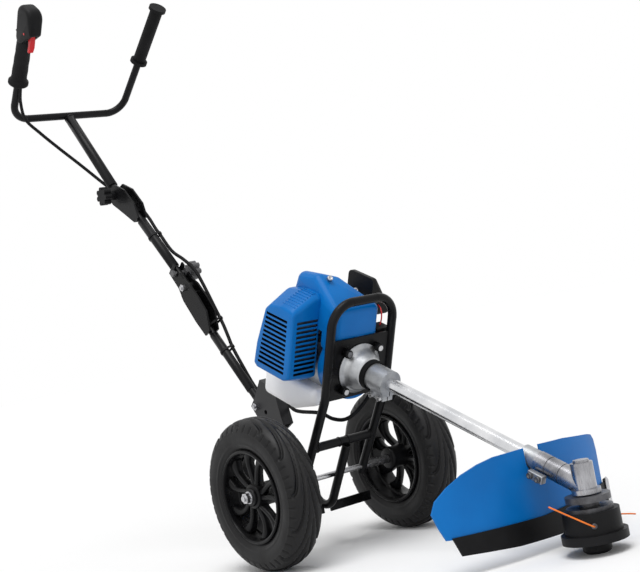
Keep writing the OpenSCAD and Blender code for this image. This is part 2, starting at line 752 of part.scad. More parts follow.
module guard_bracket() color(silver) difference() {
  union() {
    back(saddle_from) cylinder(d = tube_d + 2 * saddle_t, h = saddle_to - saddle_from);
    translate([tab_x - tab_t, -tab_w / 2, tab_low])
      cube([tab_t, tab_w, notch_low - tab_low]);
    translate([tab_x - tab_t, -notch_d / 4, tab_low])
      cube([tab_t, notch_d / 2, notch_low - tab_low]);
  }
  back(saddle_from - over) cylinder(d = tube_d, h = saddle_to);
}

// engine
fan_back = 562;
fan_wall = 3;
fan_d = 122;
duct_room = 20;
front_room = 30;
fan_duct = [hoop_w - duct_room, 92];
fan_front = [hoop_w - front_room, 80];
fan_step = 8;
fan_deep = fan_back - plate_s - plate_t;
module fan_duct_block(size, from, inset) {
  translate([0, inset - size[1] / 2, from]) cube([size[0] - inset, size[1] - 2 * inset, fan_back]);
}
module fan_housing() color(blue) back(plate_s + plate_t) difference() {
  intersection() {
    union() {
      cylinder(d = fan_d, h = fan_deep);
      fan_duct_block(fan_front, 0, 0);
      fan_duct_block(fan_duct, fan_step, 0);
    }
    cylinder(d = 4 * fan_d, h = fan_deep);
  }
  translate([0, 0, fan_wall]) cylinder(d = fan_d - 2 * fan_wall, h = fan_back);
  fan_duct_block(fan_front, fan_wall, fan_wall);
  fan_duct_block(fan_duct, fan_step + fan_wall, fan_wall);
  translate([0, 0, -over]) cylinder(d = plate_hole, h = fan_back);
}
fly_from = 532;
fly_to = 552;
blade_count = 14;
blade_t = 3;
blade_share = 0.28;
crank_d = 12;
nose_d = 10;
crank_from = 507;
crank_to = 640;
web_d = 46;
web_t = 9;
web_gap = 10;
web_at = [cyl_s - web_gap / 2 - web_t, cyl_s + web_gap / 2];
crank_pin_d = 10;
throw = 14;
module flywheel() color([0.65, 0.66, 0.68]) back(fly_from) difference() {
  union() {
    cylinder(d = flywheel_d, h = (fly_to - fly_from) / 2);
    cylinder(d = flywheel_d / 2, h = fly_to - fly_from);
    for (i = [0:blade_count - 1]) rotate([0, 0, i * 360 / blade_count])
      translate([flywheel_d / 5, -blade_t / 2, 0])
        cube([flywheel_d * blade_share, blade_t, fly_to - fly_from]);
  }
  translate([0, 0, -over]) cylinder(d = crank_d, h = fly_to);
}
module crankshaft() color(steel) back() {
  translate([0, 0, crank_from]) cylinder(d = nose_d, h = fly_from - crank_from);
  translate([0, 0, fly_from]) cylinder(d = crank_d, h = web_at[0] + web_t - fly_from);
  for (s = web_at) translate([0, 0, s]) cylinder(d = web_d, h = web_t);
  translate([throw, 0, web_at[0]]) cylinder(d = crank_pin_d, h = web_at[1] - web_at[0] + web_t);
  translate([0, 0, web_at[1]]) cylinder(d = crank_d, h = crank_to - web_at[1]);
}
shoe_from = 507;
shoe_to = 515;
shoe_d = 49;
shoe_in = 33;
shoe_bar = 9;
shoe_hub = 18;
module clutch_shoes() color([0.45, 0.42, 0.38]) back(shoe_from)
  linear_extrude(height = shoe_to - shoe_from) difference() {
    union() {
      difference() {
        circle(d = shoe_d);
        circle(d = shoe_in);
        translate([-shoe_bar / 2, -shoe_d]) square([shoe_bar, 2 * shoe_d]);
      }
      translate([-shoe_d / 2 + drum_wall, -shoe_bar / 2]) square([shoe_d - 2 * drum_wall, shoe_bar]);
      circle(d = shoe_hub);
    }
    circle(d = nose_d);
  }
case_from = fan_back;
case_to = 626;
crank_case_d = 78;
crank_room_d = 52;
crank_wall = 8;
top_n = 39.5;
top_w = 58;
foot_n = 62;
foot_w = 64;
module crankcase() color([0.45, 0.45, 0.47]) back(case_from) difference() {
  union() {
    cylinder(d = crank_case_d, h = case_to - case_from);
    translate([0, -top_w / 2, 0]) cube([top_n, top_w, case_to - case_from]);
    translate([-foot_n, -foot_w / 2, crank_wall])
      cube([foot_n, foot_w, case_to - case_from - 2 * crank_wall]);
  }
  translate([0, 0, crank_wall]) cylinder(d = crank_room_d, h = case_to - case_from - 2 * crank_wall);
  translate([0, 0, -over]) cylinder(d = crank_d + 2 * run, h = case_to);
  translate([0, 0, cyl_s - case_from]) rotate([0, 90, 0]) cylinder(d = bore_d, h = crank_case_d);
}
bore_d = 36;
cyl_core = 48;
cyl_high = 126;
fin_t = 2.5;
fin_pitch = 8;
fin_count = 10;
fin_w = 60;
fin_len = 62;
head_room = 112;
module cylinder_part() {
  difference() {
    union() {
      translate([top_n, 0, 0]) rotate([0, 90, 0]) cylinder(d = cyl_core, h = cyl_high - top_n);
      for (i = [0:fin_count - 1])
        translate([cyl_high - fin_t - i * fin_pitch, -fin_w / 2, -fin_len / 2])
          cube([fin_t, fin_w, fin_len]);
      translate([top_n, -top_w / 2, -fin_len / 2]) cube([fin_t, top_w, fin_len]);
    }
    translate([top_n - over, 0, 0]) rotate([0, 90, 0]) cylinder(d = bore_d, h = head_room - top_n);
  }
}
module engine_cylinder() color([0.62, 0.62, 0.63]) back(cyl_s) cylinder_part();
muf_y = [-100, -51];
muf_n = [4, 96];
muf_s = [578, 622];
stub_d = 26;
stub_n = 62;
module muffler() color([0.35, 0.34, 0.33]) back() {
  translate([muf_n[0], muf_y[0], muf_s[0]])
    cube([muf_n[1] - muf_n[0], muf_y[1] - muf_y[0], muf_s[1] - muf_s[0]]);
  translate([stub_n, -fin_w / 2, cyl_s]) rotate([90, 0, 0])
    cylinder(d = stub_d, h = -muf_y[1] - fin_w / 2);
}
cover_y = [-112, -50];
cover_wall = 2.5;
cover_size = 100;
cover_shares = [[-0.26, -0.19], [1.18, -0.19], [1.26, -0.1], [1.26, 0.16], [1.18, 0.56],
  [1.04, 0.7], [0.2, 0.86], [-0.28, 0.9], [-0.36, 0.78], [-0.36, -0.04]];
cover_mid_shares = [0.45, 0.34];
cover_shrink_share = 0.955;
slot_h = 4;
slot_pitch = 8.6;
side_slots = 14;
front_slots = 11;
slot_low = -18;
side_slot_s = [590, 664];
front_slot_y = [-100, -58];
cover_front = cyl_s + cover_shares[0][1] * cover_size;
module cover_outline(shrink = 1) {
  translate([0, cyl_s]) translate(cover_mid_shares * cover_size) scale(shrink)
    translate(-cover_mid_shares * cover_size) polygon(cover_shares * cover_size);
}
module muffler_cover() color(blue) back() difference() {
  translate([0, cover_y[1], 0]) rotate([90, 0, 0])
    linear_extrude(height = cover_y[1] - cover_y[0]) cover_outline();
  translate([0, cover_y[1] + over, 0]) rotate([90, 0, 0])
    linear_extrude(height = cover_y[1] - cover_y[0] + over - cover_wall)
      cover_outline(cover_shrink_share);
  for (i = [0:side_slots - 1])
    translate([slot_low + i * slot_pitch, cover_y[0] - over, side_slot_s[0]])
      cube([slot_h, 2 * over + cover_wall, side_slot_s[1] - side_slot_s[0] - i * over]);
  for (i = [0:front_slots - 1])
    translate([slot_low + i * slot_pitch, front_slot_y[0], cover_front - over])
      cube([slot_h, front_slot_y[1] - front_slot_y[0], slot_h + 2 * over]);
}
module y_rod(n, s, y0, y1, d) {
  translate([n, y1, s]) rotate([90, 0, 0]) cylinder(d = d, h = y1 - y0, $fn = soft_fn);
}
dome_round = 30;
dome_fn = 24;
dome_shares = [[1.37, -0.34, 0.12], [1.31, -0.34, 0.47], [1.28, -0.06, 0.02], [0.94, 0.36, -0.06],
  [0.94, 0.36, 0.46], [0.92, -0.34, -0.14], [0.82, -0.34, 0.6], [0.82, 0.36, 0.5], [0.78, -0.34, -0.14],
  [0.78, 0.36, -0.1]];
dome_y = [-50, 52];
module dome_body() {
  translate([0, 0, cyl_s]) hull()
    for (p = dome_shares * cover_size) translate(p) sphere(d = dome_round, $fn = dome_fn);
}
module cylinder_cover() color(blue) back() difference() {
  dome_body();
  translate([top_n, -fin_w / 2 - gap, cyl_s - fin_len / 2 - gap])
    cube([cyl_high - top_n, fin_w + 2 * gap, fin_len + 2 * gap]);
  translate([top_n, dome_y[0] - over, cyl_s - stub_d / 2 - over])
    cube([stub_n - top_n + stub_d / 2 + over, -dome_y[0], stub_d + 2 * over]);
  translate([top_n, fin_w / 2, cyl_s - fin_len / 2 - gap - over])
    cube([carb_n[1] + carb_room - top_n, dome_y[1], fin_len / 2 + gap + over + carb_w / 2 + 2 * carb_room]);
}
reco_d = 112;
reco_to = 664;
reco_small = 92;
reco_wall = 3;
vent_count = 24;
vent_w = 4;
vent_in = 26;
vent_out = 40;
module recoil_housing() color([0.16, 0.16, 0.17]) back(case_to) difference() {
  union() {
    cylinder(d = reco_d, h = (reco_to - case_to) / 2);
    translate([0, 0, (reco_to - case_to) / 2])
      cylinder(d1 = reco_d, d2 = reco_small, h = (reco_to - case_to) / 2);
  }
  translate([0, 0, -over]) cylinder(d = crank_room_d, h = crank_to - case_to + 2 * over);
  for (i = [0:vent_count - 1]) rotate([0, 0, i * 360 / vent_count])
    translate([vent_in, -vent_w / 2, (reco_to - case_to) - reco_wall])
      cube([vent_out - vent_in, vent_w, reco_to]);
}
pull_n = 20;
pull_s = 646;
pull_len = 70;
pull_d = 18;
pull_stem = 10;
module recoil_handle() color(black) back() {
  translate([pull_n, reco_d / 2 + pull_stem, pull_s]) rotate([0, 90, 0])
    cylinder(d = pull_d, h = pull_len, center = true);
  difference() {
    translate([pull_n, reco_d / 2 + pull_stem, pull_s]) rotate([90, 0, 0])
      cylinder(d = pull_d / 2, h = 2 * pull_stem);
    translate([0, 0, case_to]) cylinder(d = reco_d, h = (reco_to - case_to) / 2);
    translate([0, 0, (case_to + reco_to) / 2])
      cylinder(d1 = reco_d, d2 = reco_small, h = (reco_to - case_to) / 2);
  }
}
tank_from = 562;
tank_low = -106;
tank_round = 30;
tank_wall = 2.5;
cap_s = 692;
cap_neck_d = 26;
cap_neck_h = 12;
fuel_cap_d = 36;
fuel_cap_h = 16;
corner_steps = 6;
function rounded(w, h, r) = [for (q = [0:3], k = [0:corner_steps])
  let (sx = q == 0 || q == 3 ? 1 : -1, sy = q < 2 ? 1 : -1, a = 90 * q + 90 * k / corner_steps)
  [sx * (w / 2 - r) + r * cos(a), sy * (h / 2 - r) + r * sin(a)]];
tank_high = -foot_n - tank_low;
module tank_block(inset, s0, s1) {
  translate([(tank_low - foot_n) / 2, 0, s0]) linear_extrude(height = s1 - s0)
    polygon(rounded(tank_high - 2 * inset, tank_w - 2 * inset, tank_round / 2));
}
module fuel_tank() color([0.93, 0.94, 0.92]) back() difference() {
  union() {
    tank_block(0, tank_from, tank_from + tank_len);
    translate([-foot_n - tank_wall / 2, 0, cap_s]) rotate([0, 90, 0])
      cylinder(d = cap_neck_d, h = tank_wall / 2 + cap_neck_h);
  }
  tank_block(tank_wall, tank_from + tank_wall, tank_from + tank_len - tank_wall);
  translate([-foot_n - tank_high / 2, 0, cap_s]) rotate([0, 90, 0])
    cylinder(d = cap_neck_d - 2 * tank_wall, h = tank_high + cap_neck_h);
}
cap_ribs = 16;
module fuel_cap() color(black) back() translate([-foot_n + gap, 0, cap_s]) rotate([0, 90, 0])
  difference() {
  cylinder(d = fuel_cap_d, h = fuel_cap_h);
  translate([0, 0, -over]) cylinder(d = cap_neck_d + 2 * run, h = cap_neck_h + over);
  for (i = [0:cap_ribs - 1]) rotate([0, 0, i * 360 / cap_ribs])
    translate([fuel_cap_d / 2, 0, -over]) cylinder(d = tank_wall, h = fuel_cap_h + 2 * over);
}
carb_n = [66, 100];
carb_y = 62;
carb_w = 34;
carb_room = 3;
choke_pin = 5;
choke_in = 12;
module choke_spot() {
  translate([(carb_n[0] + carb_n[1]) / 2, (carb_y + fin_w / 2) / 2, cyl_s + carb_w / 2]) children();
}
module carburettor() color([0.55, 0.55, 0.57]) back() difference() {
  translate([carb_n[0], fin_w / 2, cyl_s - carb_w / 2])
    cube([carb_n[1] - carb_n[0], carb_y - fin_w / 2, carb_w]);
  choke_spot() translate([0, 0, -choke_in - gap]) cylinder(d = choke_pin + 2 * run, h = carb_w);
}
air_n = [66, 138];
air_y = [62, 112];
air_top_y = 77;
air_s = [572, 640];
air_round = 18;
air_rows = [[air_n[0] + air_round / 2, air_y[1]], [air_n[1] - air_round / 2, air_top_y]];
module air_filter_cover() color(black) back() difference() {
  hull() for (row = air_rows, s = [air_s[0] + air_round / 2, air_s[1] - air_round / 2]) {
    y_rod(row[0], s, air_y[0], row[1] - air_round / 2, air_round);
    translate([row[0], row[1] - air_round / 2, s]) sphere(d = air_round, $fn = soft_fn);
  }
  translate([0, 0, air_s[0] - over]) cube([2 * air_n[1], air_y[0], air_s[1] - air_s[0] + 2 * over]);
}
choke_len = 26;
choke_t = 4;
module choke_lever() color(black) back() choke_spot() {
  translate([0, 0, gap]) linear_extrude(height = choke_t) {
    circle(d = 2 * choke_pin);
    translate([-choke_len, -choke_pin / 2]) square([choke_len, choke_pin]);
  }
  translate([0, 0, -choke_in]) cylinder(d = choke_pin, h = choke_in + gap + choke_t);
}

// grips
grip_from = 94;
grip_lip_d = 44;
grip_lip = 10;
grip_low_d = 33;
grip_high_d = 29;
grip_neck = 212;
hood_w = 34;
slot_w = 13;
trig_rise = 20;
trig_at = [20, grip_neck + trig_rise];
trig_pin = 5;
trig_w = 11;
lever_size = 100;
trig_shares = [[-0.05, 0.08], [0.07, 0.06], [0.13, -0.1], [0.15, -0.26], [0.12, -0.4],
  [0.07, -0.4], [0.07, -0.24], [0.02, -0.1], [-0.06, -0.06]];
lock_rise = 10;
lock_at = [-12, grip_neck + lock_rise];
lock_pin = 4;
lock_w = 9;
lock_shares = [[0.022, 0.06], [-0.05, 0.08], [-0.13, -0.17], [-0.13, -0.57], [-0.09, -0.6],
  [-0.08, -0.22], [0.022, -0.04]];
lock_slot_shares = [[0.06, 0.14], [-0.28, 0.14], [-0.28, -0.72], [-0.064, -0.72], [-0.05, -0.22],
  [0.06, -0.08]];
trig_slot_shares = [[-0.1, 0.12], [0.14, 0.11], [0.3, -0.1], [0.3, -0.52], [-0.026, -0.52],
  [-0.1, -0.1]];
hood_shares = [[-0.02, 0.5], [0.14, 0.52]];
hood_nose_shares = [0.34, 0.28];
hood_nose_d = 14;
module x_rod(x, t, d, w) {
  translate([x, 0, t]) rotate([90, 0, 0]) cylinder(d = d, h = w, center = true, $fn = soft_fn);
}
module at_lever(spot) {
  translate([spot[0], 0, spot[1]]) children();
}
module throttle_grip() color(black) upright(-1) difference() {
  union() {
    translate([0, 0, grip_from]) cylinder(d = grip_lip_d, h = grip_lip);
    translate([0, 0, grip_from + grip_lip])
      cylinder(d1 = grip_low_d, d2 = grip_high_d, h = grip_neck - grip_from - grip_lip);
    hull() {
      x_rod(0, grip_neck, grip_high_d, hood_w);
      for (p = hood_shares * lever_size) x_rod(p[0], grip_neck + p[1], grip_lip_d, hood_w);
      x_rod(hood_nose_shares[0] * lever_size, grip_neck + hood_nose_shares[1] * lever_size,
        hood_nose_d, hood_w);
    }
  }
  translate([0, 0, grip_from - over]) cylinder(d = bar_d, h = bar_len - grip_from + over);
  at_lever(trig_at) plate_xz(trig_slot_shares * lever_size, slot_w);
  at_lever(lock_at) plate_xz(lock_slot_shares * lever_size, slot_w);
  at_lever(trig_at) across(trig_pin, hood_w);
  at_lever(lock_at) across(lock_pin, hood_w);
}
module throttle_trigger() color([0.85, 0.1, 0.1]) upright(-1) at_lever(trig_at) {
  plate_xz(trig_shares * lever_size, trig_w);
  across(trig_pin - 2 * run, hood_w - over);
}
module throttle_lock() color([0.15, 0.15, 0.16]) upright(-1) at_lever(lock_at) {
  plate_xz(lock_shares * lever_size, lock_w);
  across(lock_pin - 2 * run, hood_w - over);
}
switch_rise = 50;
switch_at = [6, grip_neck + switch_rise];
switch_size = [10, 5, 16];
module stop_switch() color([0.8, 0.1, 0.1]) upright(-1)
  translate([switch_at[0], hood_w / 2 + gap, switch_at[1]])
    translate([-switch_size[0] / 2, 0, -switch_size[2] / 2]) cube(switch_size);
plain_from = 134;
plain_to = 276;
plain_d = 28;
plain_lip_d = 38;
plain_lip = 7;
module plain_grip() color(black) upright(1) translate([0, 0, plain_from]) difference() {
  union() {
    cylinder(d = plain_lip_d, h = plain_lip);
    cylinder(d = plain_d, h = plain_to - plain_from);
    translate([0, 0, plain_to - plain_from - plain_lip]) cylinder(d = plain_lip_d, h = plain_lip);
  }
  translate([0, 0, -over]) cylinder(d = bar_d, h = bar_len - plain_from + over);
}

// cables
cable_d = 7;
cable_sides = 10;
cable_steps = 2;
cable_top = [[-1239, -143, 1021], [-1263, -137, 994], [-1284, -122, 960], [-1282, -95, 928],
  [-1273, -60, 888], [-1260, -26, 848], [-1238, 2, 806], [-1208, 14, 774], [-1178, 17, 744],
  [-1144, 17, 726], [-1108, 17, 712], [-1085, 15, 692], [-1062, 10, 666], [-1049, 10, 651]];
cable_low = [[-1048.2, 10, 650], [-1017, 10, 612], [-985, 16, 588], [-957, 19.5, 562], [-937, 19.5, 530],
  [-908, 19, 474], [-889, 18, 438], [-866, 12.5, 395], [-845, 13, 357], [-815, 16, 305],
  [-786, 18, 296], [-745, 17, 280], [-718, 17, 264], [-690, 6, 257], [-660, 0, 253], [-606, 0, 247],
  [-576, 3, 234], [-553, 14, 230], [-535, 33, 243], [-519, 60, 275], [-512, 68, 310], [-506, 67, 345],
  [-499, 60, 383], [-507.2, 50, 404.5]];
module cable_handle() color(black) sweep(curve(cable_top, cable_steps), cable_d, cable_sides);
module cable_frame() color(black) sweep(curve(cable_low, cable_steps), cable_d, cable_sides);

// fasteners fixed to the frame
screw_head_d = 10;
screw_head_h = 6;
spacer_d = 16;
clamp_screw_in = 11;
clamp_screw_s = [clamp_from + clamp_screw_in, clamp_to - clamp_screw_in];
module fasteners() color(silver) {
  for (m = [-1, 1]) {
    at_axle() translate([0, m * (track / 2 + hub_len / 2 + gap), 0]) rotate([-m * 90, 0, 0]) {
      ring(washer_d, axle_d, washer_t);
      translate([0, 0, washer_t]) difference() {
        hex(axle_nut_af, axle_nut_h);
        translate([0, 0, -over]) cylinder(d = axle_d, h = axle_nut_h + 2 * over);
      }
    }
    at_axle() translate([0, m * (hoop_w + frame_d) / 2, 0]) rotate([-m * 90, 0, 0])
      ring(spacer_d, axle_d, (track - hub_len - hoop_w - frame_d) / 2 - gap);
  }
  for (s = clamp_screw_s) back(s) translate([-clamp_d / 2 - clamp_lug[0] / 4, -clamp_lug[1] / 2, 0])
    rotate([90, 0, 0]) cylinder(d = screw_head_d, h = screw_head_h);
  back(plate_s - clutch_flange - screw_head_h) bolt_spots() {
    cylinder(d = screw_head_d, h = screw_head_h);
    cylinder(d = bolt_d, h = screw_head_h + clutch_flange + plate_t);
  }
}

frame_hoop();
engine_plate();
lower_brace();
spine_tube();
step_bars();
base_bracket();
axle();
base_bolt();
fasteners();
clutch_housing();
rubber_isolator();
tube_clamp();
drive_tube();
fan_housing();
crankcase();
engine_cylinder();
muffler();
muffler_cover();
cylinder_cover();
recoil_housing();
recoil_handle();
fuel_tank();
carburettor();
air_filter_cover();
gear_case();
guard();
guard_skirt();
line_cutter();
guard_bracket();
crankshaft();
flywheel();
clutch_shoes();
clutch_drum();
drive_shaft();
bevel_gear();
head_flange();
head_body();
spool();
trimmer_line();
bump_knob();
tyre_right();
rim_right();
tyre_left();
rim_left();
lower_stem();
mid_bolt();
mid_stem();
star_knob_mid();
upper_stem();
handlebar();
star_knob_upper();
throttle_grip();
throttle_trigger();
throttle_lock();
stop_switch();
plain_grip();
cable_handle();
cable_frame();
fuel_cap();
choke_lever();
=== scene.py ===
import json
import math

import bmesh
import bpy
from mathutils import Matrix, Vector


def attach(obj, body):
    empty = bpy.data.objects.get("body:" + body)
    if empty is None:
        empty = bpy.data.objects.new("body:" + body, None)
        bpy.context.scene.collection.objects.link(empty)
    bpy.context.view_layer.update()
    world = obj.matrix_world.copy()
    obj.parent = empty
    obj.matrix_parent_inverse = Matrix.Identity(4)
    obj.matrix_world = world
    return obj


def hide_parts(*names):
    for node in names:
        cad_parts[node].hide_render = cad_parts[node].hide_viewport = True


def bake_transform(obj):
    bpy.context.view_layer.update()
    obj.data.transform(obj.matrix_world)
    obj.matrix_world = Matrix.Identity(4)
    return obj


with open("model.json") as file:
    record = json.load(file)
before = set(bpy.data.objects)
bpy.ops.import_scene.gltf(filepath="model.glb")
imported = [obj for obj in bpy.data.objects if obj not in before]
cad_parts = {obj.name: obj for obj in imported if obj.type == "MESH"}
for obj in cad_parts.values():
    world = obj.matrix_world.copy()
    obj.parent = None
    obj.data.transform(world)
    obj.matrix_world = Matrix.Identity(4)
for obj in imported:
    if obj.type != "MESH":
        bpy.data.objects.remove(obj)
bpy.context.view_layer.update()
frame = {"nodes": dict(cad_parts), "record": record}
nodes = frame["nodes"]
scene = bpy.context.scene
print("stage: frame loaded,", len(nodes), "nodes")

# fitted to the wheels, the frame and the drive tube in the photo
view = {
    "place": (1.4371, -1.5338, 0.4149), "yaw": 142.128, "pitch": 1.334, "roll": 11.013,
    "lens": 78.75, "sensor": 36.0,
}
yaw, pitch, roll = (math.radians(view[k]) for k in ("yaw", "pitch", "roll"))
forward = Vector((math.cos(pitch) * math.cos(yaw), math.cos(pitch) * math.sin(yaw), math.sin(pitch)))
level = forward.cross(Vector((0.0, 0.0, 1.0))).normalized()
down = forward.cross(level)
right = level * math.cos(roll) + down * math.sin(roll)
upward = level * math.sin(roll) - down * math.cos(roll)
camData = bpy.data.cameras.new("photoCamera")
camData.lens = view["lens"]
camData.sensor_width = view["sensor"]
camera = bpy.data.objects.new("photoCamera", camData)
camera.matrix_world = Matrix(
    (
        (right.x, upward.x, -forward.x, view["place"][0]),
        (right.y, upward.y, -forward.y, view["place"][1]),
        (right.z, upward.z, -forward.z, view["place"][2]),
        (0.0, 0.0, 0.0, 1.0),
    )
)
scene.collection.objects.link(camera)
scene.camera = camera
print("stage: camera placed")


# wraps a socket, so that shader maths reads as Python
class Sig:
    def __init__(self, graph, socket):
        self.graph = graph
        self.socket = socket

    def math(self, op, other):
        return self.graph.node("ShaderNodeMath", {"operation": op}, {0: self, 1: other})

    def __add__(self, other):
        return self.math("ADD", other)

    __radd__ = __add__

    def __mul__(self, other):
        return self.math("MULTIPLY", other)

    def ramp(self, low, high):
        return self.graph.node(
            "ShaderNodeMapRange", {"interpolation_type": "SMOOTHSTEP"}, {0: self, 1: low, 2: high}
        )


class Graph:
    def __init__(self, name):
        self.material = bpy.data.materials.new(name)
        self.material.use_nodes = True
        self.tree = self.material.node_tree
        self.shader = self.tree.nodes["Principled BSDF"]
        self.coords = self.node("ShaderNodeTexCoord", {}, {}, "Object")

    def put(self, socket, value):
        if isinstance(value, Sig):
            self.tree.links.new(value.socket, socket)
        else:
            socket.default_value = value

    def node(self, kind, settings, inputs, out=0):
        made = self.tree.nodes.new(kind)
        for key, value in settings.items():
            setattr(made, key, value)
        for key, value in inputs.items():
            self.put(made.inputs[key], value)
        return Sig(self, made.outputs[out])

    def noise(self, scale, detail=3.0, rough=0.55, stretch=None):
        where = self.coords
        if stretch:
            where = self.node("ShaderNodeVectorMath", {"operation": "MULTIPLY"}, {0: where, 1: stretch})
        return self.node(
            "ShaderNodeTexNoise", {}, {"Vector": where, "Scale": scale, "Detail": detail, "Roughness": rough}
        )

    def mix(self, factor, first, second):
        pair = [value if isinstance(value, Sig) else (*value, 1.0) for value in (first, second)]
        return self.node("ShaderNodeMix", {"data_type": "RGBA"}, {0: factor, 6: pair[0], 7: pair[1]}, 2)

    def bump(self, height, strength, distance):
        return self.node("ShaderNodeBump", {}, {"Strength": strength, "Distance": distance, "Height": height})

    def finish(self, **sockets):
        for key, value in sockets.items():
            self.put(self.shader.inputs[key.replace("_", " ")], value)
        return self.material


wear = {
    "patch": (0.35, 0.72), "specks": (0.45, 0.8), "polish": (0.3, 0.75), "bump": 0.35,
    "dustFacing": (0.35, 1.0), "dustShare": 0.55, "dustScale": 38.0, "dustPatch": (0.35, 0.7),
}


def mottled(name, base, worn, spread, grain, depth, rough, metal=0.0, coat=0.0, shine=0.3, dust=None):
    g = Graph(name)
    cloud = g.noise(spread["cloud"], detail=4.0)
    fine = g.noise(grain, detail=2.0)
    colour = g.mix(cloud.ramp(*wear["patch"]), base, worn)
    if dust:
        up = g.node("ShaderNodeSeparateXYZ", {}, {0: g.node("ShaderNodeNewGeometry", {}, {}, "Normal")}, 2)
        settle = up.ramp(*wear["dustFacing"]) * wear["dustShare"]
        settle = settle * g.noise(wear["dustScale"], detail=5.0, rough=0.65).ramp(*wear["dustPatch"])
        colour = g.mix(settle, colour, dust)
    colour = g.mix(fine.ramp(*wear["specks"]) * spread["speck"], colour, worn)
    return g.finish(
        Base_Color=colour,
        Roughness=rough[0] + cloud.ramp(*wear["polish"]) * (rough[1] - rough[0]),
        Metallic=metal,
        Coat_Weight=coat,
        Specular_IOR_Level=shine,
        Normal=g.bump(fine, wear["bump"], depth),
    )


brush = {
    "scale": 60.0, "patchScale": 14.0, "patch": (0.35, 0.75), "lines": (0.4, 0.75), "share": 0.4,
    "polish": (0.3, 0.75), "bump": 0.2, "depth": 0.0003,
}


def brushed(name, base, dark, stretch, rough):
    g = Graph(name)
    lines = g.noise(brush["scale"], detail=4.0, rough=0.6, stretch=stretch)
    cloud = g.noise(brush["patchScale"], detail=4.0)
    colour = g.mix(cloud.ramp(*brush["patch"]), base, dark)
    colour = g.mix(lines.ramp(*brush["lines"]) * brush["share"], colour, dark)
    roughness = rough[0] + lines.ramp(*brush["polish"]) * (rough[1] - rough[0])
    normal = g.bump(lines, brush["bump"], brush["depth"])
    return g.finish(Base_Color=colour, Roughness=roughness, Metallic=1.0, Normal=normal)


soft = {"cloud": 9.0, "speck": 0.25}
tight = {"cloud": 26.0, "speck": 0.4}
slopeStretch = (2.0, 30.0, 30.0)  # draws the lines along the drive tube
mats = {  # name, colour, second colour, then spread, grain and depth or the stretch, then roughness
    "frame_paint": mottled(
        "powderBlack", (0.003, 0.003, 0.0035), (0.008, 0.008, 0.009), soft, 900.0, 0.0002, (0.24, 0.38),
        shine=0.14,
    ),
    "bracket_paint": mottled(
        "greyPaint", (0.012, 0.012, 0.013), (0.024, 0.024, 0.026), soft, 800.0, 0.0002, (0.36, 0.5)
    ),
    "zinc_steel": brushed("zincSteel", (0.6, 0.6, 0.61), (0.34, 0.34, 0.36), (6.0, 20.0, 6.0), (0.22, 0.4)),
    "cast_alloy": mottled(
        "castAlloy", (0.44, 0.45, 0.46), (0.27, 0.28, 0.3), tight, 700.0, 0.0006, (0.32, 0.52), metal=0.9
    ),
    "tube_alloy": brushed("drawnAlloy", (0.8, 0.8, 0.81), (0.56, 0.57, 0.59), slopeStretch, (0.13, 0.26)),
    "inner_steel": mottled(
        "darkSteel", (0.05, 0.05, 0.054), (0.15, 0.15, 0.16), tight, 500.0, 0.0004, (0.34, 0.52), metal=0.8
    ),
    "blue_plastic": mottled(
        "blueShell", (0.0, 0.132, 0.44), (0.001, 0.155, 0.5), soft, 1100.0, 0.00015, (0.3, 0.42), shine=0.18
    ),
    "black_plastic": mottled(
        "blackShell", (0.004, 0.004, 0.0045), (0.01, 0.01, 0.011), soft, 900.0, 0.0003, (0.42, 0.58),
        shine=0.14,
    ),
    "grey_plastic": mottled(
        "greyShell", (0.09, 0.09, 0.094), (0.15, 0.15, 0.154), soft, 900.0, 0.0003, (0.4, 0.55)
    ),
    "red_plastic": mottled(
        "redShell", (0.58, 0.008, 0.014), (0.46, 0.007, 0.012), soft, 1000.0, 0.00015, (0.24, 0.36), coat=0.1
    ),
    "rim_plastic": mottled(
        "rimBlack", (0.003, 0.003, 0.0035), (0.007, 0.007, 0.008), tight, 700.0, 0.0003, (0.24, 0.4),
        shine=0.16, dust=(0.03, 0.029, 0.027),
    ),
    "line_nylon": mottled(
        "orangeNylon", (0.85, 0.2, 0.02), (0.7, 0.14, 0.015), tight, 900.0, 0.0001, (0.25, 0.4)
    ),
}

gripLook = {
    "base": (0.004, 0.004, 0.0045), "worn": (0.01, 0.01, 0.011), "grain": 1200.0, "cloud": 20.0,
    "patch": (0.35, 0.75), "rough": (0.5, 0.25), "shine": 0.14, "bump": 0.4, "depth": 0.0004,
}


def gripRubber():
    g = Graph("gripRubber")
    fine = g.noise(gripLook["grain"], detail=2.0)
    cloud = g.noise(gripLook["cloud"], detail=4.0)
    return g.finish(
        Base_Color=g.mix(cloud.ramp(*gripLook["patch"]), gripLook["base"], gripLook["worn"]),
        Roughness=gripLook["rough"][0] + cloud * gripLook["rough"][1],
        Specular_IOR_Level=gripLook["shine"],
        Normal=g.bump(fine, gripLook["bump"], gripLook["depth"]),
    )


tankLook = {
    "empty": ((0.86, 0.86, 0.88), (0.93, 0.93, 0.95)), "filled": ((0.72, 0.71, 0.7), (0.78, 0.77, 0.75)),
    "fuelLine": 0.264, "fuelEdge": 0.006, "cloud": 12.0, "patch": (0.3, 0.75), "rough": (0.3, 0.15),
    "shine": 0.35, "glow": 0.3, "glowReach": 0.02, "grain": 300.0, "bump": 0.15, "depth": 0.0004,
}


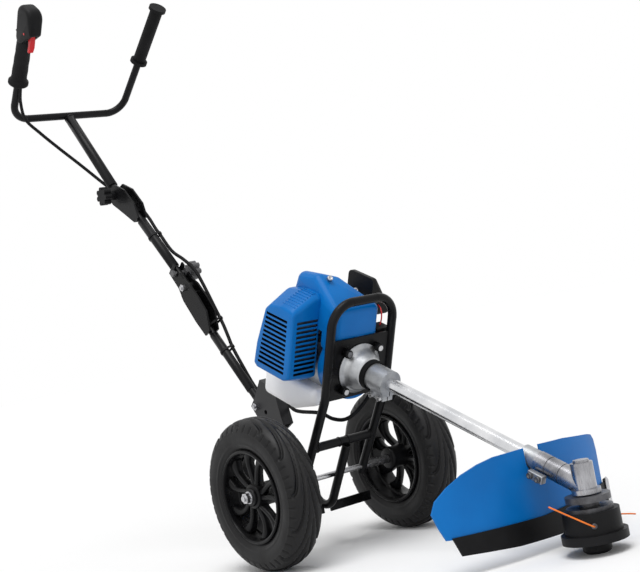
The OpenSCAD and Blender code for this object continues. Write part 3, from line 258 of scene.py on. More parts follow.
def tankShell():
    g = Graph("tankShell")
    cloud = g.noise(tankLook["cloud"], detail=4.0)
    height = g.node("ShaderNodeSeparateXYZ", {}, {0: g.coords}, 2)
    empty = g.mix(cloud.ramp(*tankLook["patch"]), *tankLook["empty"])
    filled = g.mix(cloud, *tankLook["filled"])
    above = height.ramp(tankLook["fuelLine"], tankLook["fuelLine"] + tankLook["fuelEdge"])
    return g.finish(
        Base_Color=g.mix(above, filled, empty),
        Roughness=tankLook["rough"][0] + cloud * tankLook["rough"][1],
        Specular_IOR_Level=tankLook["shine"],
        Subsurface_Weight=tankLook["glow"],
        Subsurface_Radius=(tankLook["glowReach"],) * 3,
        Subsurface_Scale=tankLook["glow"],
        Normal=g.bump(g.noise(tankLook["grain"]), tankLook["bump"], tankLook["depth"]),
    )


tyreLook = {
    "base": (0.004, 0.004, 0.0045), "worn": (0.01, 0.0096, 0.01), "scuffAndShadeColour": (0.02, 0.0195, 0.02),
    "grain": 420.0, "cloud": 22.0, "patch": (0.42, 0.74), "scuffAndShadeFrom": (0.128, 0.135), "scuffAndShadeShare": 0.4,
    "relief": (0.6, 0.2), "rough": (0.4, 0.25), "shine": 0.24, "bump": 0.5, "depth": 0.0008,
}


def tyreRubber(name, centre):
    g = Graph(name)
    local = g.node("ShaderNodeVectorMath", {"operation": "SUBTRACT"}, {0: g.coords, 1: centre})
    flat = g.node("ShaderNodeVectorMath", {"operation": "MULTIPLY"}, {0: local, 1: (1.0, 0.0, 1.0)})
    radius = g.node("ShaderNodeVectorMath", {"operation": "LENGTH"}, {0: flat}, 1)
    grain = g.noise(tyreLook["grain"])
    cloud = g.noise(tyreLook["cloud"], detail=5.0, rough=0.62)
    dusty = cloud.ramp(*tyreLook["patch"])
    colour = g.mix(dusty, tyreLook["base"], tyreLook["worn"])
    # lighter towards the crown as scuffed wear; this leaves the groove floors and the shoulders darker, which
    # is painted shade in the grooves
    colour = g.mix(radius.ramp(*tyreLook["scuffAndShadeFrom"]) * tyreLook["scuffAndShadeShare"], colour, tyreLook["scuffAndShadeColour"])
    height = grain * tyreLook["relief"][0] + cloud * tyreLook["relief"][1]
    return g.finish(
        Base_Color=colour,
        Roughness=tyreLook["rough"][0] + dusty * tyreLook["rough"][1],
        Specular_IOR_Level=tyreLook["shine"],
        Normal=g.bump(height, tyreLook["bump"], tyreLook["depth"]),
    )


mats["grip_rubber"] = gripRubber()
mats["tank_plastic"] = tankShell()
mats["handle_paint"] = mats["frame_paint"]
gearAlloy = brushed("gearAlloy", (0.42, 0.42, 0.44), (0.12, 0.12, 0.13), (9.0, 9.0, 1.2), (0.2, 0.4))
print("stage: materials made")

slotOf = {s["node"]: s["material_slot"] for s in frame["record"]["subparts"]}
for name, obj in nodes.items():
    slotName = slotOf[name]
    obj.data.materials.clear()
    finish = {"tyre_rubber": "rim_plastic"}.get(slotName, slotName)  # the tyres are replaced further down
    obj.data.materials.append(gearAlloy if name == "gear_case" else mats[finish])
print("stage: CAD nodes dressed")


def addMesh(name, verts, faces, material, body=None, smooth=True):
    mesh = bpy.data.meshes.new(name)
    mesh.from_pydata(verts, [], faces)
    mesh.validate()
    mesh.update()
    if smooth:
        mesh.shade_smooth()
    obj = bpy.data.objects.new(name, mesh)
    scene.collection.objects.link(obj)
    mesh.materials.append(material)
    if body:
        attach(obj, body)
    return obj


def catmull(points, steps):
    pts = [Vector(p) for p in points]
    out = []
    for i in range(len(pts) - 1):
        a, b = pts[max(i - 1, 0)], pts[i]
        c, d = pts[i + 1], pts[min(i + 2, len(pts) - 1)]
        for k in range(steps):
            t = k / steps
            square, cube = 2 * a - 5 * b + 4 * c - d, 3 * b - a - 3 * c + d
            out.append((2 * b + (c - a) * t + square * t * t + cube * t**3) / 2)
    out.append(pts[-1])
    return out


def tubeData(path, radius, sides):
    verts, faces = [], []
    guide = Vector((0.3, 0.9, 0.2))  # no path starts along it
    for i, p in enumerate(path):
        t = (path[min(i + 1, len(path) - 1)] - path[max(i - 1, 0)]).normalized()
        a = (guide - t * guide.dot(t)).normalized()
        b = t.cross(a)
        guide = a
        for k in range(sides):
            w = 2 * math.pi * k / sides
            verts.append(p + (a * math.cos(w) + b * math.sin(w)) * radius)
    for i in range(len(path) - 1):
        for k in range(sides):
            n = (k + 1) % sides
            faces.append((i * sides + k, i * sides + n, (i + 1) * sides + n, (i + 1) * sides + k))
    faces.append(tuple(range(sides - 1, -1, -1)))
    faces.append(tuple((len(path) - 1) * sides + k for k in range(sides)))
    return verts, faces


# the routes are the source's own, with room for the hinges
cable = {
    "radius": 0.0035, "steps": 10, "sides": 14,
    "top": [
        (-1.239, -0.143, 1.021), (-1.263, -0.137, 0.994), (-1.284, -0.122, 0.96), (-1.282, -0.095, 0.928),
        (-1.273, -0.06, 0.888), (-1.26, -0.026, 0.848), (-1.238, 0.002, 0.806), (-1.208, 0.014, 0.774),
        (-1.178, 0.017, 0.744), (-1.144, 0.017, 0.726), (-1.108, 0.017, 0.712), (-1.085, 0.015, 0.692),
        (-1.062, 0.0118, 0.666), (-1.0482, 0.0118, 0.65),
    ],
    "middle": [
        (-1.0482, 0.0118, 0.65), (-1.017, 0.0118, 0.612), (-0.985, 0.016, 0.588), (-0.957, 0.0195, 0.562),
        (-0.937, 0.0195, 0.53), (-0.908, 0.019, 0.474), (-0.889, 0.018, 0.438), (-0.866, 0.0125, 0.395),
    ],
    "low": [
        (-0.866, 0.0125, 0.395), (-0.845, 0.013, 0.357), (-0.815, 0.016, 0.305), (-0.786, 0.018, 0.296),
        (-0.745, 0.017, 0.28), (-0.718, 0.017, 0.264), (-0.69, 0.006, 0.257), (-0.66, 0.0, 0.253),
        (-0.606, 0.0, 0.247), (-0.576, 0.003, 0.234), (-0.553, 0.014, 0.23), (-0.535, 0.033, 0.243),
        (-0.519, 0.06, 0.275), (-0.512, 0.068, 0.31), (-0.506, 0.067, 0.345), (-0.499, 0.06, 0.383),
        (-0.5072, 0.05, 0.4045),
    ],
    "topBend": ((-1.238, 0.002, 0.806), (-1.108, 0.017, 0.712)),
    "middleBend": ((-0.968, 0.0195, 0.574), (-0.912, 0.019, 0.484)),
    "lowBend": ((-0.845, 0.012, 0.357), (-0.745, 0.017, 0.28)),
}


def cablePiece(name, part, node):
    route = catmull(cable[part], cable["steps"])
    verts, faces = tubeData(route, cable["radius"], cable["sides"])
    obj = addMesh(name, verts, faces, mats["grip_rubber"])
    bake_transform(obj)
    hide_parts(node)


trimLine = {
    "diameter": 0.0024, "drum": 0.043, "up": 0.045, "steps": 8, "sides": 12,
    "lineFront": [
        (0.022, -0.022, 0.045), (0.031, -0.031, 0.045), (0.037, -0.041, 0.048), (0.033, -0.056, 0.058),
        (0.017, -0.07, 0.072), (-0.002, -0.082, 0.086),
    ],
    "lineBack": [
        (-0.022, 0.022, 0.045), (-0.031, 0.031, 0.045), (-0.033, 0.045, 0.044), (-0.02, 0.062, 0.041),
        (0.0, 0.078, 0.038), (0.01, 0.085, 0.036),
    ],
}


def linePiece(name):
    route = catmull(trimLine[name], trimLine["steps"])
    verts, faces = tubeData(route, trimLine["diameter"] / 2, trimLine["sides"])
    obj = addMesh(name, verts, faces, mats["line_nylon"], "line_head")
    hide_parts("trimmer_line")
    span = sum((b - a).length for a, b in zip(route, route[1:]))


linePiece("lineFront")
linePiece("lineBack")
print("stage: trimmer lines laid")

cablePiece("cableTop", "top", "cable_handle")
cablePiece("cableMiddle", "middle", "cable_frame")
cablePiece("cableLow", "low", "cable_frame")
print("stage: cables laid")

wheel = {"x": -0.6, "z": 0.135, "half": 0.159}
tyre = {
    "half": [  # radius and place across, from the crown to the bead
        (0.135, 0.0), (0.1348, 0.008), (0.1335, 0.0155), (0.1305, 0.0225), (0.1255, 0.0285), (0.1185, 0.0325),
        (0.109, 0.034), (0.099, 0.0335), (0.091, 0.0315), (0.0862, 0.0298), (0.0836, 0.0282),
    ],
    "bead": (0.0806, 0.0268), "shoulder": 0.02, "turns": 480, "rows": 46, "steps": 24,
    "treadWide": 0.032, "grooves": 12, "sweep": 58.0, "grooveHalf": 0.0021, "grooveDeep": 0.0046,
    "grooveSpan": (0.04, 1.12), "grooveFade": (0.06, 0.1), "grooveEdge": (1.6, 0.9),
    "sipes": 44, "sipeHalf": 0.0013, "sipeDeep": 0.0022,
    "sipeSpan": (0.9, 1.32), "sipeFade": 0.06, "sipeEdge": 1.7, "sipeTwist": 0.03,
    "ridges": [  # radius, half width, height
        (0.1165, 0.0008, 0.0007), (0.1135, 0.0006, 0.0005), (0.0935, 0.0022, 0.0011),
        (0.0885, 0.0012, 0.0006),
    ],
    "ridgeEdge": 1.5,
}


def smooth(x):
    x = min(max(x, 0.0), 1.0)
    return x * x * (3.0 - 2.0 * x)


def evenly(points, count):
    route = catmull([(p[0], p[1], 0.0) for p in points], tyre["steps"])
    marks = [0.0]
    for a, b in zip(route, route[1:]):
        marks.append(marks[-1] + (b - a).length)
    spots, k = [], 0
    for i in range(count):
        want = marks[-1] * i / (count - 1)
        while k < len(marks) - 2 and marks[k + 1] < want:
            k += 1
        share = (want - marks[k]) / (marks[k + 1] - marks[k])
        spots.append((route[k].lerp(route[k + 1], share), want))
    return spots


def treadCut(along, turn, radius):
    t = along / tyre["treadWide"]
    deep = 0.0
    start, end = tyre["grooveSpan"]
    if start < t < end:
        pitch = 2 * math.pi / tyre["grooves"]
        swing = math.radians(tyre["sweep"])
        miss = (turn - swing * max(1.0 - t, 0.0) ** 2 + pitch / 2) % pitch - pitch / 2
        slope = 2 * swing * max(1.0 - t, 0.0) * radius / tyre["treadWide"]
        off = abs(miss) * radius / math.sqrt(1.0 + slope * slope)
        ends = smooth((t - start) / tyre["grooveFade"][0]) * smooth((end - t) / tyre["grooveFade"][1])
        reach, slant = (tyre["grooveHalf"] * share for share in tyre["grooveEdge"])
        deep = tyre["grooveDeep"] * ends * smooth((reach - off) / slant)
    start, end = tyre["sipeSpan"]
    if start < t < end:
        pitch = 2 * math.pi / tyre["sipes"]
        off = abs((turn + tyre["sipeTwist"] * t + pitch / 2) % pitch - pitch / 2) * radius
        ends = smooth((t - start) / tyre["sipeFade"]) * smooth((end - t) / tyre["sipeFade"])
        reach = tyre["sipeHalf"] * tyre["sipeEdge"]
        deep = max(deep, tyre["sipeDeep"] * ends * smooth((reach - off) / tyre["sipeHalf"]))
    return deep


def onWheel(side, turn, radius, out):
    x, z = wheel["x"] + radius * math.cos(turn), wheel["z"] + radius * math.sin(turn)
    return Vector((x, side * (wheel["half"] + out), z))


def treadedTyre(name, node, body, side, material):
    half = evenly(tyre["half"], tyre["rows"])
    section = []
    for spot, along in reversed(half[1:]):
        section.append((spot.x, -spot.y, along, -1))
    for spot, along in half:
        section.append((spot.x, spot.y, along, 1))
    count, turns = len(section), tyre["turns"]
    beadR, beadHalf = tyre["bead"]
    verts, faces = [], []
    for k in range(turns):
        turn = 2 * math.pi * k / turns
        for j, (r, o, along, hand) in enumerate(section):
            before, after = section[max(j - 1, 0)], section[min(j + 1, count - 1)]
            away = Vector((after[1] - before[1], before[0] - after[0])).normalized()
            lift = -treadCut(along, turn + (0.0 if hand > 0 else math.pi / tyre["grooves"]), r)
            if abs(o) > tyre["shoulder"]:
                for ringR, ringHalf, tall in tyre["ridges"]:
                    lift += tall * smooth(tyre["ridgeEdge"] - abs(r - ringR) / ringHalf)
            verts.append(onWheel(side, turn, r + away.x * lift, o + away.y * lift))
        verts.append(onWheel(side, turn, beadR, beadHalf))
        verts.append(onWheel(side, turn, beadR, -beadHalf))
    ring = count + 2
    for k in range(turns):
        n = (k + 1) % turns
        for j in range(ring):
            m = (j + 1) % ring
            quad = (k * ring + j, k * ring + m, n * ring + m, n * ring + j)
            faces.append(quad if side < 0 else quad[::-1])
    made = addMesh(name, verts, faces, material, body)
    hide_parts(node)


rim = {
    "barrel": [
        (0.0762, 0.022), (0.0764, 0.0296), (0.0776, 0.0322), (0.0802, 0.0332), (0.0826, 0.032),
        (0.0832, 0.0296), (0.0826, 0.0276), (0.0802, 0.0266), (0.0802, -0.0266), (0.0826, -0.0276),
        (0.0832, -0.0296), (0.0826, -0.032), (0.0802, -0.0332), (0.0776, -0.0322), (0.0764, -0.0296),
        (0.0762, -0.022), (0.0762, -0.004), (0.0736, -0.002), (0.0736, 0.002), (0.0762, 0.004),
    ],
    "hub": [
        (0.0085, -0.031), (0.017, -0.031), (0.0195, -0.029), (0.0205, -0.024), (0.0205, -0.004),
        (0.0222, 0.0), (0.0222, 0.022), (0.021, 0.0245), (0.0165, 0.0262), (0.0165, 0.0298),
        (0.0155, 0.031), (0.0085, 0.031),
    ],
    "barrelSides": 96, "hubSides": 48, "sharp": 40.0,
    "pairs": 5, "rootTurn": 11.0, "tipTurn": 16.5, "curl": 9.0, "steps": 14, "sides": 14,
    "root": 0.0185, "tip": 0.0768, "wide": 0.0046, "widen": 0.0012, "foot": 0.0052, "footFrom": 0.62,
    "deep": 0.0098, "waist": 0.0022, "mid": 0.0125, "midDrift": 0.0015, "square": 0.6,
}


def ringOf(name, profile, side, material, body, sides):
    verts, faces = [], []
    for k in range(sides):
        verts += [onWheel(side, 2 * math.pi * k / sides, r, o) for r, o in profile]
    count = len(profile)
    for k in range(sides):
        n = (k + 1) % sides
        for j in range(count):
            m = (j + 1) % count
            quad = (k * count + j, k * count + m, n * count + m, n * count + j)
            faces.append(quad if side < 0 else quad[::-1])
    made = addMesh(name, verts, faces, material, body)
    made.data.set_sharp_from_angle(angle=math.radians(rim["sharp"]))
    return made


def spokeArms(name, side, material, body):
    verts, faces = [], []
    for i in range(rim["pairs"]):
        for hand in (-1, 1):
            first = len(verts)
            for step in range(rim["steps"] + 1):
                u = step / rim["steps"]
                bow = math.sin(math.pi * u)
                r = rim["root"] + (rim["tip"] - rim["root"]) * u
                lead = rim["rootTurn"] + (rim["tipTurn"] - rim["rootTurn"]) * u
                turn = math.radians(i * 360.0 / rim["pairs"] + hand * lead + rim["curl"] * bow)
                wide = rim["wide"] + rim["widen"] * u
                wide += rim["foot"] * smooth((u - rim["footFrom"]) / (1.0 - rim["footFrom"]))
                deep = rim["deep"] - rim["waist"] * bow
                mid = rim["mid"] + rim["midDrift"] * u
                for k in range(rim["sides"]):
                    w = 2 * math.pi * k / rim["sides"]
                    a, b = math.cos(w), math.sin(w)
                    a = math.copysign(abs(a) ** rim["square"], a) * wide
                    b = math.copysign(abs(b) ** rim["square"], b) * deep
                    verts.append(onWheel(side, turn + a / r, r, mid + b))
            for step in range(rim["steps"]):
                for k in range(rim["sides"]):
                    n = (k + 1) % rim["sides"]
                    low, high = first + step * rim["sides"], first + (step + 1) * rim["sides"]
                    faces.append((low + k, low + n, high + n, high + k))
            faces.append(tuple(first + k for k in range(rim["sides"] - 1, -1, -1)))
            last = first + rim["steps"] * rim["sides"]
            faces.append(tuple(last + k for k in range(rim["sides"])))
    return addMesh(name, verts, faces, material, body)


for hand, side in (("Right", -1), ("Left", 1)):
    body = "wheel_" + hand.lower()
    rubber = tyreRubber("tyreRubber" + hand, (wheel["x"], side * wheel["half"], wheel["z"]))
    treadedTyre("tread" + hand, "tyre_" + hand.lower(), body, side, rubber)
    rimParts = [
        ringOf("rimBarrel" + hand, rim["barrel"], side, mats["rim_plastic"], body, rim["barrelSides"]),
        ringOf("rimHub" + hand, rim["hub"], side, mats["rim_plastic"], body, rim["hubSides"]),
        spokeArms("rimSpokes" + hand, side, mats["rim_plastic"], body),
    ]
    for part in rimParts:
        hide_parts("rim_" + hand.lower())
print("stage: wheels made")

drive = {"tilt": 25.0, "height": 0.099}
tilt = math.radians(drive["tilt"])
upTube = Vector((-math.cos(tilt), 0.0, math.sin(tilt)))
offTube = Vector((math.sin(tilt), 0.0, math.cos(tilt)))
acrossY = Vector((0.0, 1.0, 0.0))


# n stands off the drive tube, y goes across it and s runs up it from the head
def alongDrive(n, y, s):
    return Vector((0.0, y, drive["height"])) + upTube * s + offTube * n


driveFoot = alongDrive(0.0, 0.0, 0.0)


def turned(name, profile, place, axis, slotName, body, sides=28, finish=None):
    spin = Vector(axis).normalized()
    first = spin.orthogonal().normalized()
    second = spin.cross(first)
    verts, faces = [], []
    for r, h in profile:
        for k in range(sides):
            w = 2 * math.pi * k / sides
            verts.append(Vector(place) + spin * h + (first * math.cos(w) + second * math.sin(w)) * r)
    rows = len(profile)
    for i in range(rows - 1):
        for k in range(sides):
            n = (k + 1) % sides
            faces.append((i * sides + k, i * sides + n, (i + 1) * sides + n, (i + 1) * sides + k))
    faces.append(tuple(range(sides - 1, -1, -1)))
    faces.append(tuple((rows - 1) * sides + k for k in range(sides)))
    made = addMesh(name, verts, faces, mats[finish or slotName], body)
    return made


eyelet = {
    "lip": [(0.0019, 0.001), (0.0042, 0.001), (0.0046, -0.0006), (0.0042, -0.002), (0.0019, -0.002)],
    "eyeletFront": -45.0, "eyeletBack": 135.0,
}
for eyeletName in ("eyeletFront", "eyeletBack"):
    turn = math.radians(eyelet[eyeletName])
    out = Vector((math.cos(turn), math.sin(turn), 0.0))
    place = out * trimLine["drum"] + Vector((0.0, 0.0, trimLine["up"]))
    turned(eyeletName, eyelet["lip"], place, out, "inner_steel", "line_head")

flatAngle = 0.05  # joins the hull triangles of one flat face


def fromBm(name, bm, material, body=None):
    mesh = bpy.data.meshes.new(name)
    bmesh.ops.recalc_face_normals(bm, faces=bm.faces)
    bm.to_mesh(mesh)
    bm.free()
    mesh.shade_smooth()
    obj = bpy.data.objects.new(name, mesh)
    scene.collection.objects.link(obj)
    mesh.materials.append(material)
    if body:
        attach(obj, body)
    return obj


# a block with soft edges that lies square to the drive tube
def driveBlock(name, centre, halves, bevel, slotName):
    bm = bmesh.new()
    for i in (-1, 1):
        for j in (-1, 1):
            for k in (-1, 1):
                corner = Vector(centre) + offTube * i * halves[0] + acrossY * j * halves[1]
                bm.verts.new(corner + upTube * k * halves[2])
    bmesh.ops.convex_hull(bm, input=bm.verts)
    bmesh.ops.dissolve_limit(bm, angle_limit=flatAngle, verts=bm.verts, edges=bm.edges)
    bmesh.ops.bevel(bm, geom=bm.edges[:], offset=bevel, segments=3, profile=0.6, affect="EDGES")
    made = fromBm(name, bm, mats[slotName], "chassis")
    return made


bar = {"foot": (-1.31762, 0.0, 0.96814), "lean": 48.0, "flare": 4.0, "half": 0.136}


def onGrip(side, x, y, z):
    lean, flare = math.radians(bar["lean"]), math.radians(-side * bar["flare"])
    ahead = Vector((math.cos(lean), 0.0, -math.sin(lean)))
    rise = Vector((math.sin(lean), 0.0, math.cos(lean)))
    across = acrossY * math.cos(flare) + rise * math.sin(flare)
    along = rise * math.cos(flare) - acrossY * math.sin(flare)
    return Vector(bar["foot"]) + acrossY * side * bar["half"] + ahead * x + across * y + along * z


def cutFrom(body, cutter, angle):
    mod = body.modifiers.new("cut", "BOOLEAN")
    mod.object = cutter
    mod.operation = "DIFFERENCE"
    mod.solver = "EXACT"
    mod.material_mode = "TRANSFER"
    done = bpy.data.meshes.new_from_object(body.evaluated_get(bpy.context.evaluated_depsgraph_get()))
    body.modifiers.clear()
    body.data = done
    bpy.data.objects.remove(cutter)
    done.shade_smooth()
    done.set_sharp_from_angle(angle=math.radians(angle))


grip = {
    "rods": [  # ahead, along, radius, half width, edge
        (0.0, 0.212, 0.0145, 0.0165, 0.007), (-0.002, 0.262, 0.022, 0.0168, 0.009),
        (0.014, 0.264, 0.022, 0.0168, 0.009), (0.034, 0.24, 0.007, 0.0135, 0.004),
    ],
    "sleeve": [
        (0.0082, 0.0942), (0.0195, 0.0942), (0.0217, 0.096), (0.0217, 0.1015), (0.0198, 0.1038),
        (0.0172, 0.107), (0.0164, 0.116), (0.0168, 0.13), (0.016, 0.144), (0.0164, 0.158),
        (0.0156, 0.172), (0.0158, 0.186), (0.0149, 0.2), (0.0145, 0.216), (0.0082, 0.216),
    ],
    "triggerSlot": [
        (0.010, 0.244), (0.034, 0.243), (0.05, 0.222), (0.05, 0.18), (0.0174, 0.18), (0.01, 0.222),
    ],
    "lockSlot": [
        (-0.006, 0.236), (-0.04, 0.236), (-0.04, 0.15), (-0.0184, 0.15), (-0.017, 0.2), (-0.006, 0.214),
    ],
    "slotHalf": 0.0065, "edgeSteps": 4, "sides": 32, "merge": 0.01, "sharp": 34.0, "sleeveSides": 40,
}


def throttleHood():
    bm = bmesh.new()
    for x, along, radius, half, edge in grip["rods"]:
        for step in range(grip["edgeSteps"] + 1):
            w = math.pi / 2 * step / grip["edgeSteps"]
            y, r = half - edge + edge * math.sin(w), radius - edge + edge * math.cos(w)
            for k in range(grip["sides"]):
                q = 2 * math.pi * k / grip["sides"]
                for hand in (-1, 1):
                    bm.verts.new(onGrip(-1, x + r * math.cos(q), hand * y, along + r * math.sin(q)))
    bmesh.ops.convex_hull(bm, input=bm.verts)
    loose = [v for v in bm.verts if not v.link_faces]
    bmesh.ops.delete(bm, geom=loose, context="VERTS")
    bmesh.ops.dissolve_limit(bm, angle_limit=grip["merge"], verts=bm.verts, edges=bm.edges)
    shell = fromBm("throttleHood", bm, mats["black_plastic"])
    cut = bmesh.new()
    halves = (-grip["slotHalf"], grip["slotHalf"])
    for outline in (grip["triggerSlot"], grip["lockSlot"]):
        made = [cut.verts.new(onGrip(-1, x, y, z)) for y in halves for x, z in outline]
        count = len(outline)
        cut.faces.new(made[:count])
        cut.faces.new(made[count:][::-1])
        for k in range(count):
            n = (k + 1) % count
            cut.faces.new((made[k], made[n], made[count + n], made[count + k]))
    cutFrom(shell, fromBm("hoodCutter", cut, mats["black_plastic"]), grip["sharp"])
    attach(shell, "handle_top")
    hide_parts("throttle_grip")


throttleHood()
gripFoot = onGrip(-1, 0.0, 0.0, 0.0)
gripAxis = (onGrip(-1, 0.0, 0.0, 1.0) - gripFoot).normalized()
sleeve = turned(
    "throttleSleeve", grip["sleeve"], gripFoot, gripAxis, slotOf["throttle_grip"], "handle_top",
    grip["sleeveSides"], "grip_rubber",
)
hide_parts("throttle_grip")
print("stage: throttle grip made")

screw = {
    "r": 0.0052, "h": 0.0042, "sunk": 0.001, "side": 0.7, "crown": 0.9,
    "socket": 0.0027, "socketTaper": 0.92, "socketFloor": 0.35,
}
screwProfile = [
    (screw["r"], -screw["sunk"]), (screw["r"], screw["h"] * screw["side"]),
    (screw["r"] * screw["crown"], screw["h"]), (screw["socket"], screw["h"]),
    (screw["socket"] * screw["socketTaper"], screw["h"] * screw["socketFloor"]),
]
coverScrews = {  # place on the hood, then the axis as shares off and up the drive tube
    "coverScrewFront": ((0.1475, -0.028, 0.586), (0.75, -0.66)),
    "coverScrewLeft": ((0.118, 0.03, 0.583), (0.5, -0.85)),
}
for screwName, (spot, (off, up)) in coverScrews.items():
    turned(screwName, screwProfile, alongDrive(*spot), offTube * off + upTube * up, "zinc_steel", "chassis")

clampLug = {
    "n": -0.012, "y": -0.0235, "s": 0.074, "halves": (0.0065, 0.0055, 0.015), "edge": 0.002,
    "screws": (0.066, 0.082),
}
lugPlace = alongDrive(clampLug["n"], clampLug["y"], clampLug["s"])
driveBlock("clampLug", lugPlace, clampLug["halves"], clampLug["edge"], "cast_alloy")
for k, up in enumerate(clampLug["screws"]):
    place = alongDrive(clampLug["n"], clampLug["y"] - clampLug["halves"][1], up)
    turned("clampScrew%d" % k, screwProfile, place, -acrossY, "inner_steel", "chassis")

coil = {"centre": alongDrive(0.046, 0.063, 0.548), "halves": (0.014, 0.016, 0.015), "edge": 0.003}
driveBlock("coilBlock", coil["centre"], coil["halves"], coil["edge"], "black_plastic")

leads = {
    "radius": 0.0013, "sides": 10, "slot": "red_plastic",
    "routes": {
        "redLead": [
            (0.058, 0.066, 0.548), (0.07, 0.07, 0.55), (0.08, 0.074, 0.556), (0.086, 0.078, 0.566),
            (0.088, 0.08, 0.578),
        ],
        "redLeadBack": [
            (0.058, 0.058, 0.552), (0.066, 0.055, 0.558), (0.074, 0.058, 0.566), (0.08, 0.06, 0.574),
            (0.084, 0.056, 0.58),
        ],
    },
}
fuelHoses = {
    "radius": 0.0024, "sides": 12, "slot": "grip_rubber",
    "routes": {
        "fuelHose": [
            (-0.066, 0.035, 0.585), (-0.05, 0.046, 0.585), (-0.02, 0.056, 0.59), (0.03, 0.058, 0.594),
            (0.056, 0.052, 0.594), (0.068, 0.048, 0.594),
        ],
        "returnHose": [
            (-0.066, 0.035, 0.605), (-0.05, 0.048, 0.606), (-0.02, 0.06, 0.606), (0.03, 0.062, 0.604),
            (0.056, 0.056, 0.602), (0.068, 0.05, 0.602),
        ],
    },
}
hoseSteps = 8
for kind in (leads, fuelHoses):
    for hoseName, spots in kind["routes"].items():
        route = catmull([alongDrive(*p) for p in spots], hoseSteps)
        verts, faces = tubeData(route, kind["radius"], kind["sides"])
        addMesh(hoseName, verts, faces, mats[kind["slot"]], "chassis")
print("stage: engine trim added")

shroud = {  # the outlines are n and s
    "innerOutline": [
        (-0.026, 0.575), (0.118, 0.575), (0.126, 0.584), (0.126, 0.61), (0.118, 0.65), (0.104, 0.664),
        (0.02, 0.68), (-0.028, 0.684), (-0.036, 0.672), (-0.036, 0.59),
    ],
    "outerOutline": [
        (-0.022, 0.5755), (0.094, 0.5755), (0.101, 0.582), (0.101, 0.612), (0.094, 0.643), (0.084, 0.654),
        (0.015, 0.672), (-0.024, 0.676), (-0.03, 0.667), (-0.03, 0.59),
    ],
    "outer": -0.112, "inner": -0.05, "straight": 0.016, "edge": 0.0055, "sharp": 32.0,
    "slots": 12, "slotLow": -0.018, "slotPitch": 0.0086, "slotTall": 0.0048, "deep": 0.009, "over": 0.002,
    "sideFrom": 0.5895, "sideTo": 0.664, "sideTaper": 0.0014,
    "frontSpan": (-0.101, -0.056), "frontFrom": 0.571, "frontFace": 0.5748,
}


def boxCorners(lowN, highN, lowY, highY, lowS, highS):
    return [alongDrive(n, y, s) for n in (lowN, highN) for y in (lowY, highY) for s in (lowS, highS)]


def louvredShroud():
    bm = bmesh.new()
    sections = (
        (shroud["outer"], "outerOutline"),
        (shroud["inner"] - shroud["straight"], "innerOutline"),
        (shroud["inner"], "innerOutline"),
    )
    for y, outline in sections:
        for n, s in shroud[outline]:
            bm.verts.new(alongDrive(n, y, s))
    bmesh.ops.convex_hull(bm, input=bm.verts)
    bmesh.ops.dissolve_limit(bm, angle_limit=flatAngle, verts=bm.verts, edges=bm.edges)
    bmesh.ops.bevel(
        bm, geom=bm.edges[:], offset=shroud["edge"], segments=4, profile=0.55, affect="EDGES",
        clamp_overlap=True,
    )
    shell = fromBm("louvredShroud", bm, mats["blue_plastic"])
    lows = [shroud["slotLow"] + i * shroud["slotPitch"] for i in range(shroud["slots"])]
    sideDepth = (shroud["outer"] - shroud["over"], shroud["outer"] + shroud["deep"])
    frontDepth = (shroud["frontFrom"], shroud["frontFace"] + shroud["deep"])
    rows = []
    for i, n in enumerate(lows):
        end = shroud["sideTo"] - shroud["sideTaper"] * i
        rows.append((n, n + shroud["slotTall"], *sideDepth, shroud["sideFrom"], end))
    for n in lows:
        rows.append((n, n + shroud["slotTall"], *shroud["frontSpan"], *frontDepth))
    cut = bmesh.new()
    for row in rows:
        made = [cut.verts.new(p) for p in boxCorners(*row)]
        bmesh.ops.convex_hull(cut, input=made)
    # the cutter's black plastic passes to the walls and floors of the slots: painted shade inside the louvres
    cutFrom(shell, fromBm("shroudShadeCutter", cut, mats["black_plastic"]), shroud["sharp"])
    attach(shell, "chassis")
    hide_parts("muffler_cover")


louvredShroud()
ribs = {
    "count": 9, "from": -0.102, "to": -0.06, "n": 0.126, "s": 0.6, "bendAt": -0.066, "slope": 0.565,
    "halves": (0.0012, 0.0012, 0.017), "edge": 0.0006,
}
for i in range(ribs["count"]):
    y = ribs["from"] + (ribs["to"] - ribs["from"]) * i / (ribs["count"] - 1)
    drop = max(ribs["bendAt"] - y, 0.0) * ribs["slope"]
    place = alongDrive(ribs["n"] - drop, y, ribs["s"])
    driveBlock("shroudRib%d" % i, place, ribs["halves"], ribs["edge"], "blue_plastic")
print("stage: louvred shroud made")


def roundedHull(name, balls, across, material, body=None):
    bm = bmesh.new()
    for n, y, s, r in balls:
        for i in range(1, across // 2):
            w = math.pi * i / (across // 2)
            for k in range(across):
                q = 2 * math.pi * k / across
                step = (math.sin(w) * math.cos(q) * r, math.sin(w) * math.sin(q) * r, math.cos(w) * r)
                bm.verts.new(alongDrive(n + step[2], y + step[0], s + step[1]))
    bmesh.ops.convex_hull(bm, input=bm.verts)
    bmesh.ops.delete(bm, geom=[v for v in bm.verts if not v.link_faces], context="VERTS")
    return fromBm(name, bm, material, body)


